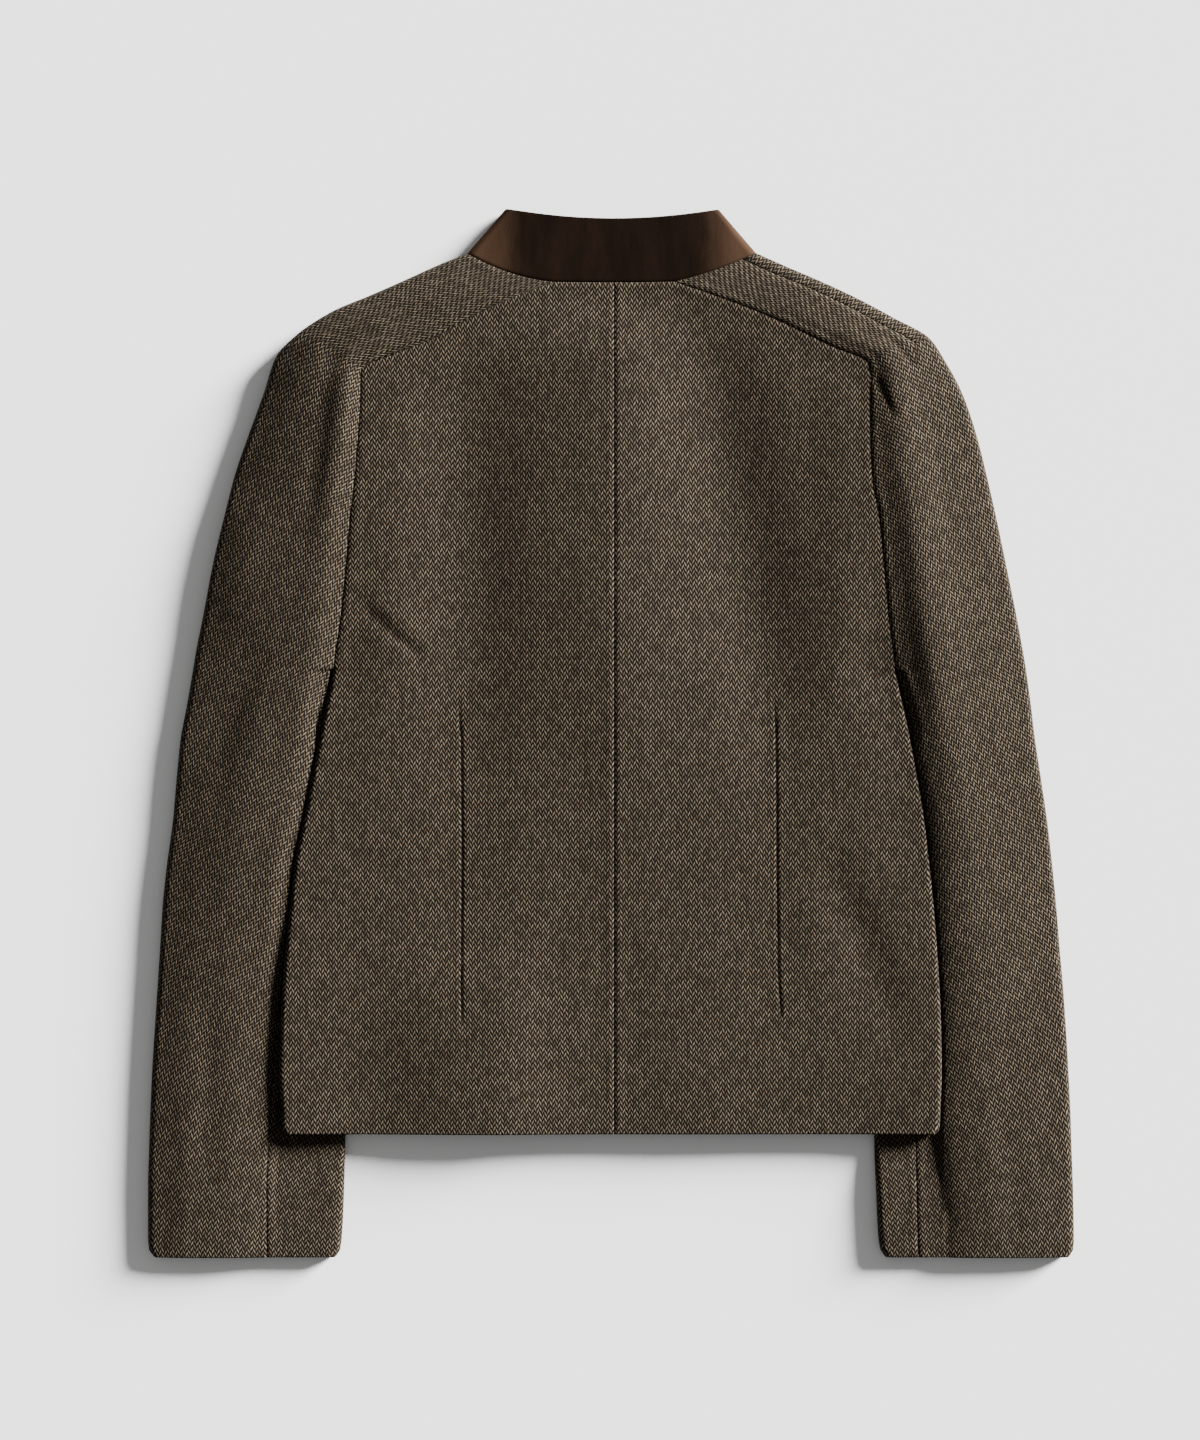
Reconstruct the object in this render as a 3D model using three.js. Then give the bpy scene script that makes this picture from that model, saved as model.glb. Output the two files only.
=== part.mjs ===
// Short tweed jacket with a velvet stand collar and saddle sleeves, laid flat on its front, back up.
// Millimetres, +Z up, collar towards +Y. Each cut piece is a wall of cloth of its own, with a narrow
// gap to its neighbours where they are sewn. Tables give x outwards from the centre-back seam and
// y upwards from the back hem; z is the height of the middle of the cloth over the ground.
import * as THREE from 'three';

// ---- driving dimensions ----
const cloth = 2.0; // thickness of the tweed with its interlining, and of the velvet band
const seamGap = 0.3; // between the edges of two pieces sewn together
const groundZ = cloth / 2; // middle of a wall that rests on the ground
const backNeck = { y: 592.2, z: 13.5, segments: 3 };
const collar = { topRatio: 0.738, topY: 636.6, topRise: 7, topX: 76, flatten: 0.8, rows: 3, endGap: 0.88 };
const roll = { width: 0.9, beyond: 5, segments: 4 }; // round the outer edge of shoulder and sleeve
const bodyRoll = { width: 1.3, segments: 3 }; // a quarter round the side, down to the side seam
const clearOfFold = 8; // the front panel stays level this far inside the sleeve's hidden fold
const frontSlope = 40; // and comes down to the ground over this length
const clearOfEdge = 6; // the sleeve starts to rise this near to the body's edge

const table = (columns, rows) => rows.map(
  (row) => Object.fromEntries(columns.map((name, index) => [name, row[index]])));

// Sections from the neck over the saddle to the underarm, each from the seam with the back panel to
// the outer edge; lowerEnd is how far from the seam the section stops underneath, at height lowerZ.
const sectionColumns = ['seamX', 'seamY', 'edgeX', 'edgeY', 'bow', 'lowerEnd'];
const saddleHeights = table(['seamZ', 'ridgeZ', 'troughZ', 'crestZ', 'rollZ', 'lowerZ'], [
  [13.5, 13.6, 13.6, 13.4, 12.0, 1],
  [14.5, 15.0, 15.2, 15.0, 12.8, 1],
  [15.3, 16.3, 16.6, 16.2, 13.4, 1],
  [15.8, 17.3, 17.8, 17.2, 14.0, 1],
  [16.0, 18.4, 18.8, 18.2, 14.6, 1],
  [15.6, 19.4, 17.6, 19.0, 15.0, 1],
]);
const armholeHeights = table(['seamZ', 'ridgeZ', 'troughZ', 'crestZ', 'rollZ', 'lowerZ'], [
  [15.2, 20.6, 14.6, 20.4, 15, 1.0],
  [15.0, 21.2, 13.6, 21.4, 15, 1.0],
  [14.8, 21.0, 14.2, 22.0, 15, 1.0],
  [14.4, 20.4, 15.4, 22.4, 15, 1.0],
  [14.0, 19.6, 16.6, 22.6, 15, 1.0],
  [13.4, 18.6, 17.4, 22.6, 15, 1.4],
  [12.4, 17.4, 17.8, 22.4, 15, 3.2],
  [11.2, 16.2, 17.8, 22.2, 15, 5.8],
  [10.4, 15.6, 17.8, 22.2, 15, 7.6],
]);

// Rows across the body side and sleeve, from just under the underarm to the cuff: the middle height
// and half height of the body's side and of the sleeve's fold beneath it, then the sleeve's top.
const sideY = [316, 308, 296, 275, 248, 218, 187, 160, 128, 94, 43, 9, -5, -42, -80, -86.5];
const sideHeights = table(['bodyMid', 'bodyHalf', 'foldMid', 'foldHalf', 'ridgeZ', 'troughZ', 'crestZ', 'rollZ'], [
  [10.0, 2.0, 8.0, 2.0, 15.0, 17.8, 22.2, 15.0],
  [10.9, 2.8, 7.0, 2.7, 14.4, 17.8, 22.0, 15.0],
  [11.8, 3.2, 5.3, 3.0, 13.4, 17.6, 21.8, 15.0],
  [12.2, 3.4, 3.75, 2.75, 12.4, 17.2, 21.4, 15.0],
  [12.2, 3.4, 3.75, 2.75, 12.0, 17.0, 21.0, 15.0],
  [12.2, 3.4, 3.75, 2.75, 12.0, 17.0, 20.6, 15.0],
  [12.2, 3.4, 3.75, 2.75, 11.8, 16.6, 20.0, 14.6],
  [12.2, 3.4, 3.75, 2.75, 11.4, 16.2, 19.4, 14.2],
  [12.2, 3.4, 3.75, 2.75, 11.0, 15.4, 18.6, 13.8],
  [12.2, 3.4, 3.75, 2.75, 10.6, 14.6, 17.6, 13.2],
  [12.2, 3.4, 3.75, 2.75, 10.0, 13.2, 16.0, 12.4],
  [12.2, 3.4, 3.75, 2.75, 9.2, 12.4, 15.0, 11.6],
  [12.2, 3.4, 3.75, 2.75, 9.0, 12.2, 14.6, 11.4],
  [12.2, 3.4, 4.80, 3.80, 10.4, 12.2, 13.6, 10.8],
  [12.2, 3.4, 4.80, 3.80, 10.0, 11.4, 12.4, 10.0],
  [12.2, 3.4, 4.60, 3.60, 9.6, 11.0, 11.8, 9.4],
]);

// Plan of each side. The saddle rows run from the neck to the corner of the armhole, the armhole rows
// from there to the underarm; the side rows stand at the heights of sideY.
const sideColumns = ['bodyX', 'foldX', 'elbowX', 'inseamX', 'edgeX'];
const plan = {
  left: {
    sign: -1,
    seamOverEdge: false, // the front panel's saddle seam lies on the shoulder's very edge
    saddle: table(sectionColumns, [
      [41.0, 592.5, 103, 613.0, 4, 52],
      [72.0, 581.0, 124, 604.5, 2, 40],
      [100.0, 567.5, 147, 594.0, 0, 32],
      [124.0, 553.5, 171, 583.5, 0, 25],
      [150.0, 543.0, 197, 572.5, 0, 17],
      [176.2, 530.5, 222, 556.0, 0, 8],
    ]),
    armhole: table(sectionColumns, [
      [176.6, 515, 236.0, 541.0, 0, 8],
      [177.3, 497, 245.0, 514.5, 0, 8],
      [178.9, 475, 254.5, 488.5, 0, 8],
      [181.0, 450, 264.5, 459.5, 0, 8],
      [183.7, 427, 272.8, 427.0, 0, 8],
      [186.2, 396, 280.0, 397.0, 0, 7],
      [190.0, 360, 287.0, 360.0, 0, 5],
      [193.8, 335, 292.0, 335.0, 0, 2],
      [195.3, 324, 293.8, 324.0, 0, 0],
    ]),
    side: table(sideColumns, [
      [197.0, 198.3, 202.5, 202.5, 295.1],
      [198.8, 200.1, 205.0, 206.0, 296.5],
      [201.2, 202.5, 208.0, 211.0, 298.6],
      [206.8, 208.1, 212.0, 219.0, 302.6],
      [210.4, 203.0, 209.0, 222.0, 305.4],
      [216.3, 200.0, 209.5, 222.0, 308.0],
      [222.6, 197.0, 212.0, 221.0, 312.2],
      [225.5, 194.0, 217.0, 220.0, 315.1],
      [229.0, 191.0, 225.0, 218.0, 317.1],
      [231.7, 189.0, 233.0, 216.0, 319.3],
      [233.4, 187.8, 238.0, 214.0, 322.6],
      [231.7, 188.4, 240.0, 213.0, 324.1],
      [231.7, 188.7, 241.0, 213.0, 324.6],
      [231.7, 189.5, 242.0, 213.0, 325.5],
      [231.7, 191.6, 242.0, 214.0, 325.5],
      [231.7, 195.0, 242.0, 216.0, 321.5],
    ]),
  },
  right: {
    sign: 1,
    seamOverEdge: true, // the front panel laps over the shoulder's edge onto the back
    saddle: table(sectionColumns, [
      [42.0, 592.7, 99.5, 613.3, 2, 46],
      [73.0, 581.8, 122, 603.2, 1, 37],
      [99.0, 572.0, 146, 592.8, 0, 30],
      [124.0, 560.8, 171, 581.0, 0, 23],
      [150.0, 547.8, 196, 567.6, 0, 15],
      [176.8, 535.2, 220, 554.0, 0, 8],
    ]),
    armhole: table(sectionColumns, [
      [178.4, 519, 232.0, 536.5, 0, 8],
      [178.0, 499, 242.5, 517.0, 0, 8],
      [178.2, 476, 253.0, 487.0, 0, 8],
      [179.8, 452, 261.0, 455.0, 0, 8],
      [184.0, 430, 267.0, 428.5, 0, 8],
      [187.5, 396, 274.0, 395.0, 0, 7],
      [190.8, 362, 280.8, 361.5, 0, 5],
      [193.9, 338, 285.2, 338.0, 0, 2],
      [195.8, 324, 287.6, 324.0, 0, 0],
    ]),
    side: table(sideColumns, [
      [197.6, 198.9, 203.0, 203.0, 288.7],
      [199.4, 200.7, 206.0, 206.5, 289.8],
      [201.8, 203.1, 208.5, 212.0, 291.4],
      [207.0, 208.3, 211.0, 219.0, 293.9],
      [211.5, 204.0, 209.0, 221.0, 298.0],
      [216.5, 201.0, 208.0, 221.0, 302.4],
      [220.0, 198.0, 209.0, 220.0, 306.0],
      [222.8, 194.0, 210.0, 218.0, 308.7],
      [225.2, 190.0, 210.0, 216.0, 311.3],
      [227.2, 186.0, 210.0, 213.0, 314.2],
      [228.3, 183.5, 210.0, 210.0, 317.4],
      [227.2, 182.8, 210.0, 208.5, 319.0],
      [227.2, 182.8, 210.5, 208.0, 319.4],
      [227.2, 184.0, 211.0, 208.0, 320.7],
      [227.2, 186.2, 212.0, 209.0, 321.3],
      [227.2, 190.0, 212.5, 211.0, 318.0],
    ]),
  },
};

// The back panel hangs from the saddle seam: at each armhole row its centre-back edge is at centreY.
// The front panel's inner edge follows the neckline, then the centre front.
const centreBackY = [592.2, 565, 538, 509, 480, 448, 412, 374, 340, 324];
const neckline = table(['x', 'y'], [[78, 582], [54, 560], [27, 548], [0, 545]]);
const centreFrontY = [500, 455, 405, 350, 324];
const hemRows = table(['y', 'inset'], [[3, 0.6], [0, 3.2]]); // rounded lower corners of the body
const bodyLastRow = 12; // side rows above this one carry the body, down to y = 9

// The heights of the back along its length, and its broad soft folds: ridges and troughs.
const backHeights = table(['y', 'z'], [
  [0, 12.8], [60, 13.8], [160, 15.2], [324, 16], [450, 16.2], [530, 16], [560, 15.5], [592.2, 13.5],
]);
const backFolds = table(['x', 'y', 'alongX', 'alongY', 'halfLength', 'halfWidth', 'height'], [
  [-142, 330, 0.00, 1, 230, 42, 1.5],
  [-45, 330, 0.02, 1, 240, 38, -1.2],
  [66, 330, 0.00, 1, 240, 36, 1.3],
  [146, 480, -0.45, 1, 110, 26, -2.0],
  [196, 95, -0.36, 1, 70, 15, -1.2],
  [-208, 110, 0.05, 1, 90, 12, -0.8],
]);

// ---- curves ----
const mix = (a, b, t) => a + (b - a) * t;
const smooth = (t) => {
  const u = Math.min(1, Math.max(0, t));
  return u * u * (3 - 2 * u);
};

// Curve through the knots that never overshoots them, each knot being [position, value].
function profile(knots) {
  const slopes = knots.slice(1).map((knot, i) => (knot[1] - knots[i][1]) / (knot[0] - knots[i][0]));
  const tangents = knots.map((_, i) => {
    const before = slopes[Math.max(0, i - 1)];
    const after = slopes[Math.min(slopes.length - 1, i)];
    return before * after > 0 ? (2 * before * after) / (before + after) : 0;
  });
  return (position) => {
    const last = knots.length - 2;
    let i = knots.findIndex((knot) => position < knot[0]) - 1;
    if (i === -2) i = last;
    i = Math.max(0, Math.min(last, i));
    const span = knots[i + 1][0] - knots[i][0];
    const t = Math.min(1, Math.max(0, (position - knots[i][0]) / span));
    const rise = t * t * (3 - 2 * t);
    const leave = t * (1 - t) * (1 - t) * span * tangents[i];
    const arrive = t * t * (t - 1) * span * tangents[i + 1];
    return mix(knots[i][1], knots[i + 1][1], rise) + leave + arrive;
  };
}

const backHeight = profile([...backHeights].map((row) => [row.y, row.z]));

function backSurface(x, y) {
  let z = backHeight(y);
  for (const fold of backFolds) {
    const length = Math.hypot(fold.alongX, fold.alongY);
    const along = ((x - fold.x) * fold.alongX + (y - fold.y) * fold.alongY) / length;
    const across = ((x - fold.x) * fold.alongY - (y - fold.y) * fold.alongX) / length;
    z += fold.height * Math.exp(-((across / fold.halfWidth) ** 2) - (along / fold.halfLength) ** 4);
  }
  return z;
}

// A row between each two rows of a table, so that the saddle bends in finer steps.
function doubled(rows) {
  const at = (i) => rows[Math.min(rows.length - 1, Math.max(0, i))];
  return rows.flatMap((row, i) => {
    if (i === rows.length - 1) return [row];
    const between = Object.keys(row).map((name) => {
      const value = (9 * (row[name] + at(i + 1)[name]) - at(i - 1)[name] - at(i + 2)[name]) / 16;
      return [name, value];
    });
    return [row, Object.fromEntries(between)];
  });
}

// ---- sections of the sleeve ----
const upperSteps = [0, 0.07, 0.15, 0.26, 0.38, 0.52, 0.68, 0.84, 1];
const lowerSteps = [0.36, 0.72, 0.87, 1];
const lowerRisesFrom = 0.72; // share of the way in from which the lower layer leaves the ground
const columnsToSeam = upperSteps.length - 1; // the saddle seam's column where the front laps over
const columnsToEdge = upperSteps.length + roll.segments / 2; // the outer edge's column
const ridgeAt = 0.16; // share of the section's width where each height of the table stands
const troughAt = 0.38;
const crestAt = 0.66;

// Points of one section from its start over the top, round the outer edge and back underneath.
function sectionPoints(place, start, edge, lowerEnd, topZ, rollZ, lowerZ) {
  const half = (rollZ - groundZ) / 2;
  const width = roll.width * half;
  const centre = edge - groundZ - width;
  const points = upperSteps.map((step) => {
    const q = mix(start, centre - roll.beyond, step);
    return place(q, topZ(q));
  });
  for (let i = 0; i <= roll.segments; i += 1) {
    const angle = (Math.PI * i) / roll.segments;
    points.push(place(centre + width * Math.sin(angle), groundZ + half + half * Math.cos(angle)));
  }
  for (const step of lowerSteps) {
    const q = mix(centre, lowerEnd, step);
    const z = mix(groundZ, lowerZ, smooth((step - lowerRisesFrom) / (1 - lowerRisesFrom)));
    points.push(place(q, z));
  }
  return points;
}

function shoulderSection(side, row) {
  const length = Math.hypot(row.edgeX - row.seamX, row.edgeY - row.seamY);
  const half = (row.rollZ - groundZ) / 2;
  const topZ = profile([
    [0, row.seamZ], [ridgeAt * length, row.ridgeZ], [troughAt * length, row.troughZ],
    [crestAt * length, row.crestZ], [length - groundZ - roll.width * half, row.rollZ],
  ]);
  const place = (q, z) => {
    const f = q / length;
    const sag = row.bow * 4 * f * (1 - f);
    return new THREE.Vector3(side.sign * mix(row.seamX, row.edgeX, f), mix(row.seamY, row.edgeY, f) - sag, z);
  };
  return sectionPoints(place, 0, length, row.lowerEnd, topZ, row.rollZ, row.lowerZ);
}

// Height of the sleeve's top below the underarm, from its hidden fold to its outer edge.
function sleeveTop(row) {
  const width = row.edgeX - row.bodyX;
  const half = (row.rollZ - groundZ) / 2;
  const foldTop = row.foldMid + row.foldHalf;
  const foldX = row.foldX + roll.width * row.foldHalf;
  return profile([
    [foldX, foldTop], [Math.max(row.bodyX - 4, foldX + 0.5), foldTop],
    [row.bodyX + ridgeAt * width, row.ridgeZ], [row.bodyX + troughAt * width, row.troughZ],
    [row.bodyX + crestAt * width, row.crestZ], [row.edgeX - groundZ - roll.width * half, row.rollZ],
  ]);
}

function armSection(side, row) {
  const place = (q, z) => new THREE.Vector3(side.sign * q, row.y, z);
  return sectionPoints(place, row.elbowX, row.edgeX, row.inseamX, sleeveTop(row), row.rollZ, groundZ);
}

// The under sleeve: from the elbow seam inwards, round the hidden fold and out to the inner seam.
function underSection(side, row) {
  const top = sleeveTop(row);
  const width = roll.width * row.foldHalf;
  const centre = row.foldX + width;
  const risesAt = row.bodyX - clearOfEdge;
  const level = risesAt > centre && risesAt < row.elbowX ? risesAt : mix(row.elbowX, centre, 0.67);
  const points = [];
  for (const step of [0, 0.5, 1]) {
    const q = mix(row.elbowX, level, step);
    points.push(new THREE.Vector3(side.sign * q, row.y, top(q)));
  }
  for (let i = 0; i <= roll.segments; i += 1) {
    const angle = (Math.PI * i) / roll.segments;
    const z = row.foldMid + row.foldHalf * Math.cos(angle);
    points.push(new THREE.Vector3(side.sign * (centre - width * Math.sin(angle)), row.y, z));
  }
  points.push(new THREE.Vector3(side.sign * row.inseamX, row.y, groundZ));
  return points;
}

// ---- panels ----
// One side's rows: the saddle's in half steps, the armhole's, and those down the side and sleeve.
function rowsOf(side) {
  const saddle = doubled(side.saddle.map((row, i) => ({ ...row, ...saddleHeights[i] })));
  const armhole = side.armhole.map((row, i) => ({ ...row, ...armholeHeights[i] }));
  const down = side.side.map((row, i) => ({ ...row, ...sideHeights[i], y: sideY[i] }));
  const body = down.slice(0, bodyLastRow);
  const lowest = body[body.length - 1];
  const hem = hemRows.map((row) => ({ ...lowest, y: row.y, bodyX: lowest.bodyX - row.inset }));
  return { saddle, armhole, down, body: [...body, ...hem] };
}

function sleeveGrid(side, rows) {
  return [
    ...rows.saddle.map((row) => shoulderSection(side, row)),
    ...rows.armhole.map((row) => shoulderSection(side, row)),
    ...rows.down.map((row) => armSection(side, row)),
  ];
}

// Shares of the way across a panel: even ones, then the last few close together for the side's roll.
function sideShares(columns, width, rollWidth) {
  const flat = columns - bodyRoll.segments;
  const shares = [];
  for (let i = 0; i <= columns; i += 1) {
    const closing = 1 - (rollWidth * (columns - i)) / bodyRoll.segments / width;
    shares.push(i <= flat ? (i / flat) * (1 - rollWidth / width) : closing);
  }
  return shares;
}

function rollOf(row, upper) {
  const width = bodyRoll.width * row.bodyHalf;
  const centre = row.bodyX - groundZ - width;
  const turn = (i) => (Math.PI / 2) * (i / bodyRoll.segments);
  const sense = upper ? 1 : -1;
  return {
    width,
    centre,
    edgeZ: row.bodyMid + sense * row.bodyHalf,
    point: (i) => [centre + width * Math.sin(turn(i)), row.bodyMid + sense * row.bodyHalf * Math.cos(turn(i))],
  };
}

function backGrid(side, rows, sleeve) {
  const neckEnd = sleeve[0][0];
  const top = [];
  for (let i = 0; i < backNeck.segments; i += 1) {
    const share = i / backNeck.segments;
    const y = mix(backNeck.y, neckEnd.y, share * share);
    top.push(new THREE.Vector3(neckEnd.x * share, y, mix(backNeck.z, neckEnd.z, share * share)));
  }
  const corner = rows.saddle.length - 1;
  for (let k = 0; k <= corner; k += 1) top.push(sleeve[k][0]);
  const columns = top.length - 1;
  const cornerPoint = top[columns];
  const grid = [top];
  const drop = top.map((point) => (point.y - cornerPoint.y) / (top[0].y - cornerPoint.y));
  rows.armhole.forEach((row, j) => {
    const outer = sleeve[corner + 1 + j][0];
    const settle = (j + 1) / rows.armhole.length;
    const shares = sideShares(columns, row.seamX, bodyRoll.width * sideHeights[0].bodyHalf);
    const line = top.map((point, i) => {
      const share = mix(point.x / cornerPoint.x, shares[i], settle);
      const x = outer.x * share;
      const y = mix(outer.y, centreBackY[j + 1], mix(drop[i], 1 - share, settle));
      const z = mix(backSurface(x, y), outer.z, smooth((share - 0.72) / 0.28));
      return new THREE.Vector3(x, y, z);
    });
    line[columns] = outer;
    grid.push(line);
  });
  for (const row of rows.body) {
    const side3 = rollOf(row, true);
    const line = [];
    const flat = columns - bodyRoll.segments;
    for (let i = 0; i <= columns; i += 1) {
      const x = side.sign * side3.centre * Math.min(1, i / flat);
      const edge = smooth((i / flat - 0.7) / 0.3);
      if (i <= flat) line.push(new THREE.Vector3(x, row.y, mix(backSurface(x, row.y), side3.edgeZ, edge)));
      else line.push(new THREE.Vector3(side.sign * side3.point(i - flat)[0], row.y, side3.point(i - flat)[1]));
    }
    grid.push(line);
  }
  return grid;
}

// The front panel is the rest of the saddle's sections, round the shoulder's edge and underneath,
// then rows from the neckline and centre front to the armhole and the side.
function frontGrids(side, rows, sleeve, cut) {
  const corner = rows.saddle.length - 1;
  const band = sleeve.slice(0, corner + 1).map((points) => points.slice(cut));
  const top = band.map((points) => points[points.length - 1]);
  const columns = top.length - 1;
  const flat = columns - bodyRoll.segments;
  const innerPoints = [
    ...neckline.map((point) => [side.sign * point.x, point.y]),
    ...centreFrontY.map((y) => [0, y]),
  ];
  const main = [top];
  rows.armhole.forEach((row, j) => {
    const points = sleeve[corner + 1 + j];
    const outer = points[points.length - 1];
    const [innerX, innerY] = innerPoints[j];
    const settle = (j + 1) / rows.armhole.length;
    const shares = sideShares(columns, row.seamX, bodyRoll.width * sideHeights[0].bodyHalf);
    const line = shares.map((low, i) => {
      const share = mix(i / columns, low, settle);
      const z = mix(groundZ, row.lowerZ, smooth((share - 0.76) / 0.2));
      return new THREE.Vector3(mix(innerX, outer.x, share), mix(innerY, outer.y, share), z);
    });
    line[columns] = outer;
    main.push(line);
  });
  for (const row of rows.body) {
    const side3 = rollOf(row, false);
    const levelFrom = Math.min(row.foldX, row.bodyX) - clearOfFold;
    const line = [];
    for (let i = 0; i <= columns; i += 1) {
      const s = i <= flat ? frontShare(i, flat, levelFrom, side3.centre) : side3.point(i - flat)[0];
      const rise = smooth((s - levelFrom + frontSlope) / frontSlope);
      const z = i <= flat ? mix(groundZ, side3.edgeZ, rise) : side3.point(i - flat)[1];
      line.push(new THREE.Vector3(side.sign * s, row.y, z));
    }
    main.push(line);
  }
  return { band, main };
}

// Distances across the front panel: two steps over the flat middle, four up the slope, one level.
function frontShare(i, flat, levelFrom, end) {
  const slopeFrom = levelFrom - frontSlope;
  if (i === flat) return end;
  if (i >= 2) return mix(slopeFrom, levelFrom, (i - 2) / (flat - 3));
  return (slopeFrom * i) / 2;
}

function collarGrid(side, back, sleeve, neckPoints) {
  const base = [...back[0].slice(0, backNeck.segments), ...sleeve[0], ...neckPoints];
  const tops = base.map((point, i) => {
    const x = point.x * collar.topRatio;
    const y = collar.topY + collar.topRise * (x / collar.topX) ** 2;
    const beneath = i - (base.length - neckPoints.length);
    if (beneath < 0) return new THREE.Vector3(x, y, groundZ + (point.z - groundZ) * collar.flatten);
    const share = (beneath + 1) / neckPoints.length;
    return new THREE.Vector3(x, mix(y, point.y + 45, Math.sqrt(share)), groundZ);
  });
  const grid = [];
  for (let r = 0; r <= collar.rows; r += 1) {
    grid.push(base.map((point, i) => new THREE.Vector3().lerpVectors(point, tops[i], r / collar.rows)));
  }
  return grid;
}

// ---- walls of cloth ----
const keyOf = (point) => [point.x, point.y, point.z].map((value) => Math.round(value * 1000)).join(' ');

// Faces of a grid that look outwards: rows run down and columns outwards on the top of the right side.
function facesOf(grid, flip, columnsInRow = () => Infinity) {
  const faces = [];
  for (let r = 0; r + 1 < grid.length; r += 1) {
    const columns = Math.min(grid[r].length - 1, columnsInRow(r));
    for (let c = 0; c < columns; c += 1) {
      const face = [grid[r][c], grid[r + 1][c], grid[r + 1][c + 1], grid[r][c + 1]];
      faces.push(flip ? face.reverse() : face);
    }
  }
  return faces;
}

const faceNormal = (face) => new THREE.Vector3().crossVectors(
  new THREE.Vector3().subVectors(face[2], face[0]), new THREE.Vector3().subVectors(face[3], face[1]));

// The normals at each point, shared by all pieces that meet there, so that their edges stand parallel.
function sharedNormals(sheets) {
  const normals = new Map();
  for (const face of sheets.flatMap((sheet) => sheet.faces)) {
    const normal = faceNormal(face);
    for (const point of face) {
      const key = keyOf(point);
      if (!normals.has(key)) normals.set(key, new THREE.Vector3());
      normals.get(key).add(normal);
    }
  }
  for (const normal of normals.values()) normal.normalize();
  return normals;
}

// Edges that belong to one face only, as [from, to] with the cloth on their left.
function borderOf(faces) {
  const edges = new Map();
  for (const face of faces) {
    face.forEach((point, i) => {
      const edge = [keyOf(point), keyOf(face[(i + 1) % face.length])];
      edges.set(edge.join('|'), edge);
    });
  }
  return [...edges.values()].filter(([from, to]) => !edges.has([to, from].join('|')));
}

// Moves the border in by half a seam gap, then lays one face half the cloth out and one half in.
function thicken(faces, normals) {
  const points = new Map();
  for (const point of faces.flat()) points.set(keyOf(point), point.clone());
  const border = borderOf(faces);
  const inward = new Map();
  for (const [from, to] of border) {
    const along = new THREE.Vector3().subVectors(points.get(to), points.get(from)).normalize();
    for (const key of [from, to]) {
      const across = new THREE.Vector3().crossVectors(normals.get(key), along).normalize();
      inward.set(key, [...(inward.get(key) ?? []), across]);
    }
  }
  for (const [key, [a, b]] of inward) {
    const spread = Math.max(0.5, 1 + a.dot(b));
    points.get(key).addScaledVector(a.clone().add(b), seamGap / 2 / spread);
  }
  const index = new Map([...points.keys()].map((key, i) => [key, 2 * i]));
  const positions = [];
  for (const [key, point] of points) {
    positions.push(...point.clone().addScaledVector(normals.get(key), cloth / 2).toArray());
    positions.push(...point.clone().addScaledVector(normals.get(key), -cloth / 2).toArray());
  }
  const indices = [];
  for (const face of faces) {
    const [a, b, c, d] = face.map((point) => index.get(keyOf(point)));
    const across = face[0].distanceTo(face[2]) <= face[1].distanceTo(face[3]);
    for (const [i, j, k] of across ? [[a, b, c], [a, c, d]] : [[a, b, d], [b, c, d]]) {
      indices.push(i, j, k, k + 1, j + 1, i + 1);
    }
  }
  for (const [from, to] of border) {
    const [a, b] = [index.get(from), index.get(to)];
    indices.push(b, a, a + 1, b, a + 1, b + 1);
  }
  const geometry = new THREE.BufferGeometry();
  geometry.setAttribute('position', new THREE.Float32BufferAttribute(positions, 3));
  geometry.setIndex(indices);
  geometry.computeVertexNormals();
  return geometry;
}

// ---- the jacket ----
function sheetsOf(name) {
  const side = plan[name];
  const left = side.sign < 0;
  const rows = rowsOf(side);
  const sleeve = sleeveGrid(side, rows);
  const back = backGrid(side, rows, sleeve);
  const corner = rows.saddle.length - 1;
  const cut = side.seamOverEdge ? columnsToSeam : columnsToEdge;
  const front = frontGrids(side, rows, sleeve, cut);
  const under = rows.down.map((row) => underSection(side, row));
  const neckPoints = neckline.map((_, j) => front.main[j + 1][0].clone());
  const lastNeck = neckPoints.length - 1;
  neckPoints[lastNeck] = neckPoints[lastNeck - 1].clone().lerp(neckPoints[lastNeck], collar.endGap);
  const collarPoints = collarGrid(side, back, sleeve, neckPoints);
  return {
    [`back_${name}`]: facesOf(back, left),
    [`front_${name}`]: [...facesOf(front.band, left), ...facesOf(front.main, !left)],
    [`sleeve_top_${name}`]: facesOf(sleeve, left, (r) => (r < corner ? cut : Infinity)),
    [`sleeve_under_${name}`]: facesOf(under, !left),
    collar: facesOf(collarPoints, !left),
  };
}

const materials = {
  tweed: () => new THREE.MeshStandardMaterial({ color: 0x564c3f, roughness: 0.95, metalness: 0 }),
  velvet: () => new THREE.MeshStandardMaterial({ color: 0x2e1c12, roughness: 0.85, metalness: 0 }),
};

function buildJacket() {
  const left = sheetsOf('left');
  const right = sheetsOf('right');
  const pieces = { ...left, ...right, collar: [...left.collar, ...right.collar] };
  const sheets = Object.entries(pieces).map(([name, faces]) => ({ name, faces }));
  const normals = sharedNormals(sheets);
  const jacket = new THREE.Group();
  for (const { name, faces } of sheets) {
    const material = name === 'collar' ? materials.velvet() : materials.tweed();
    const mesh = new THREE.Mesh(thicken(faces, normals), material);
    mesh.name = name;
    jacket.add(mesh);
  }
  const box = new THREE.Box3().setFromObject(jacket);
  const centre = box.getCenter(new THREE.Vector3());
  jacket.position.set(-centre.x, -centre.y, -box.min.z);
  jacket.updateMatrixWorld(true);
  return jacket;
}

export default buildJacket();
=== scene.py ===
import math

import bpy
import numpy as np
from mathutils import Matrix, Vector, kdtree


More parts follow.
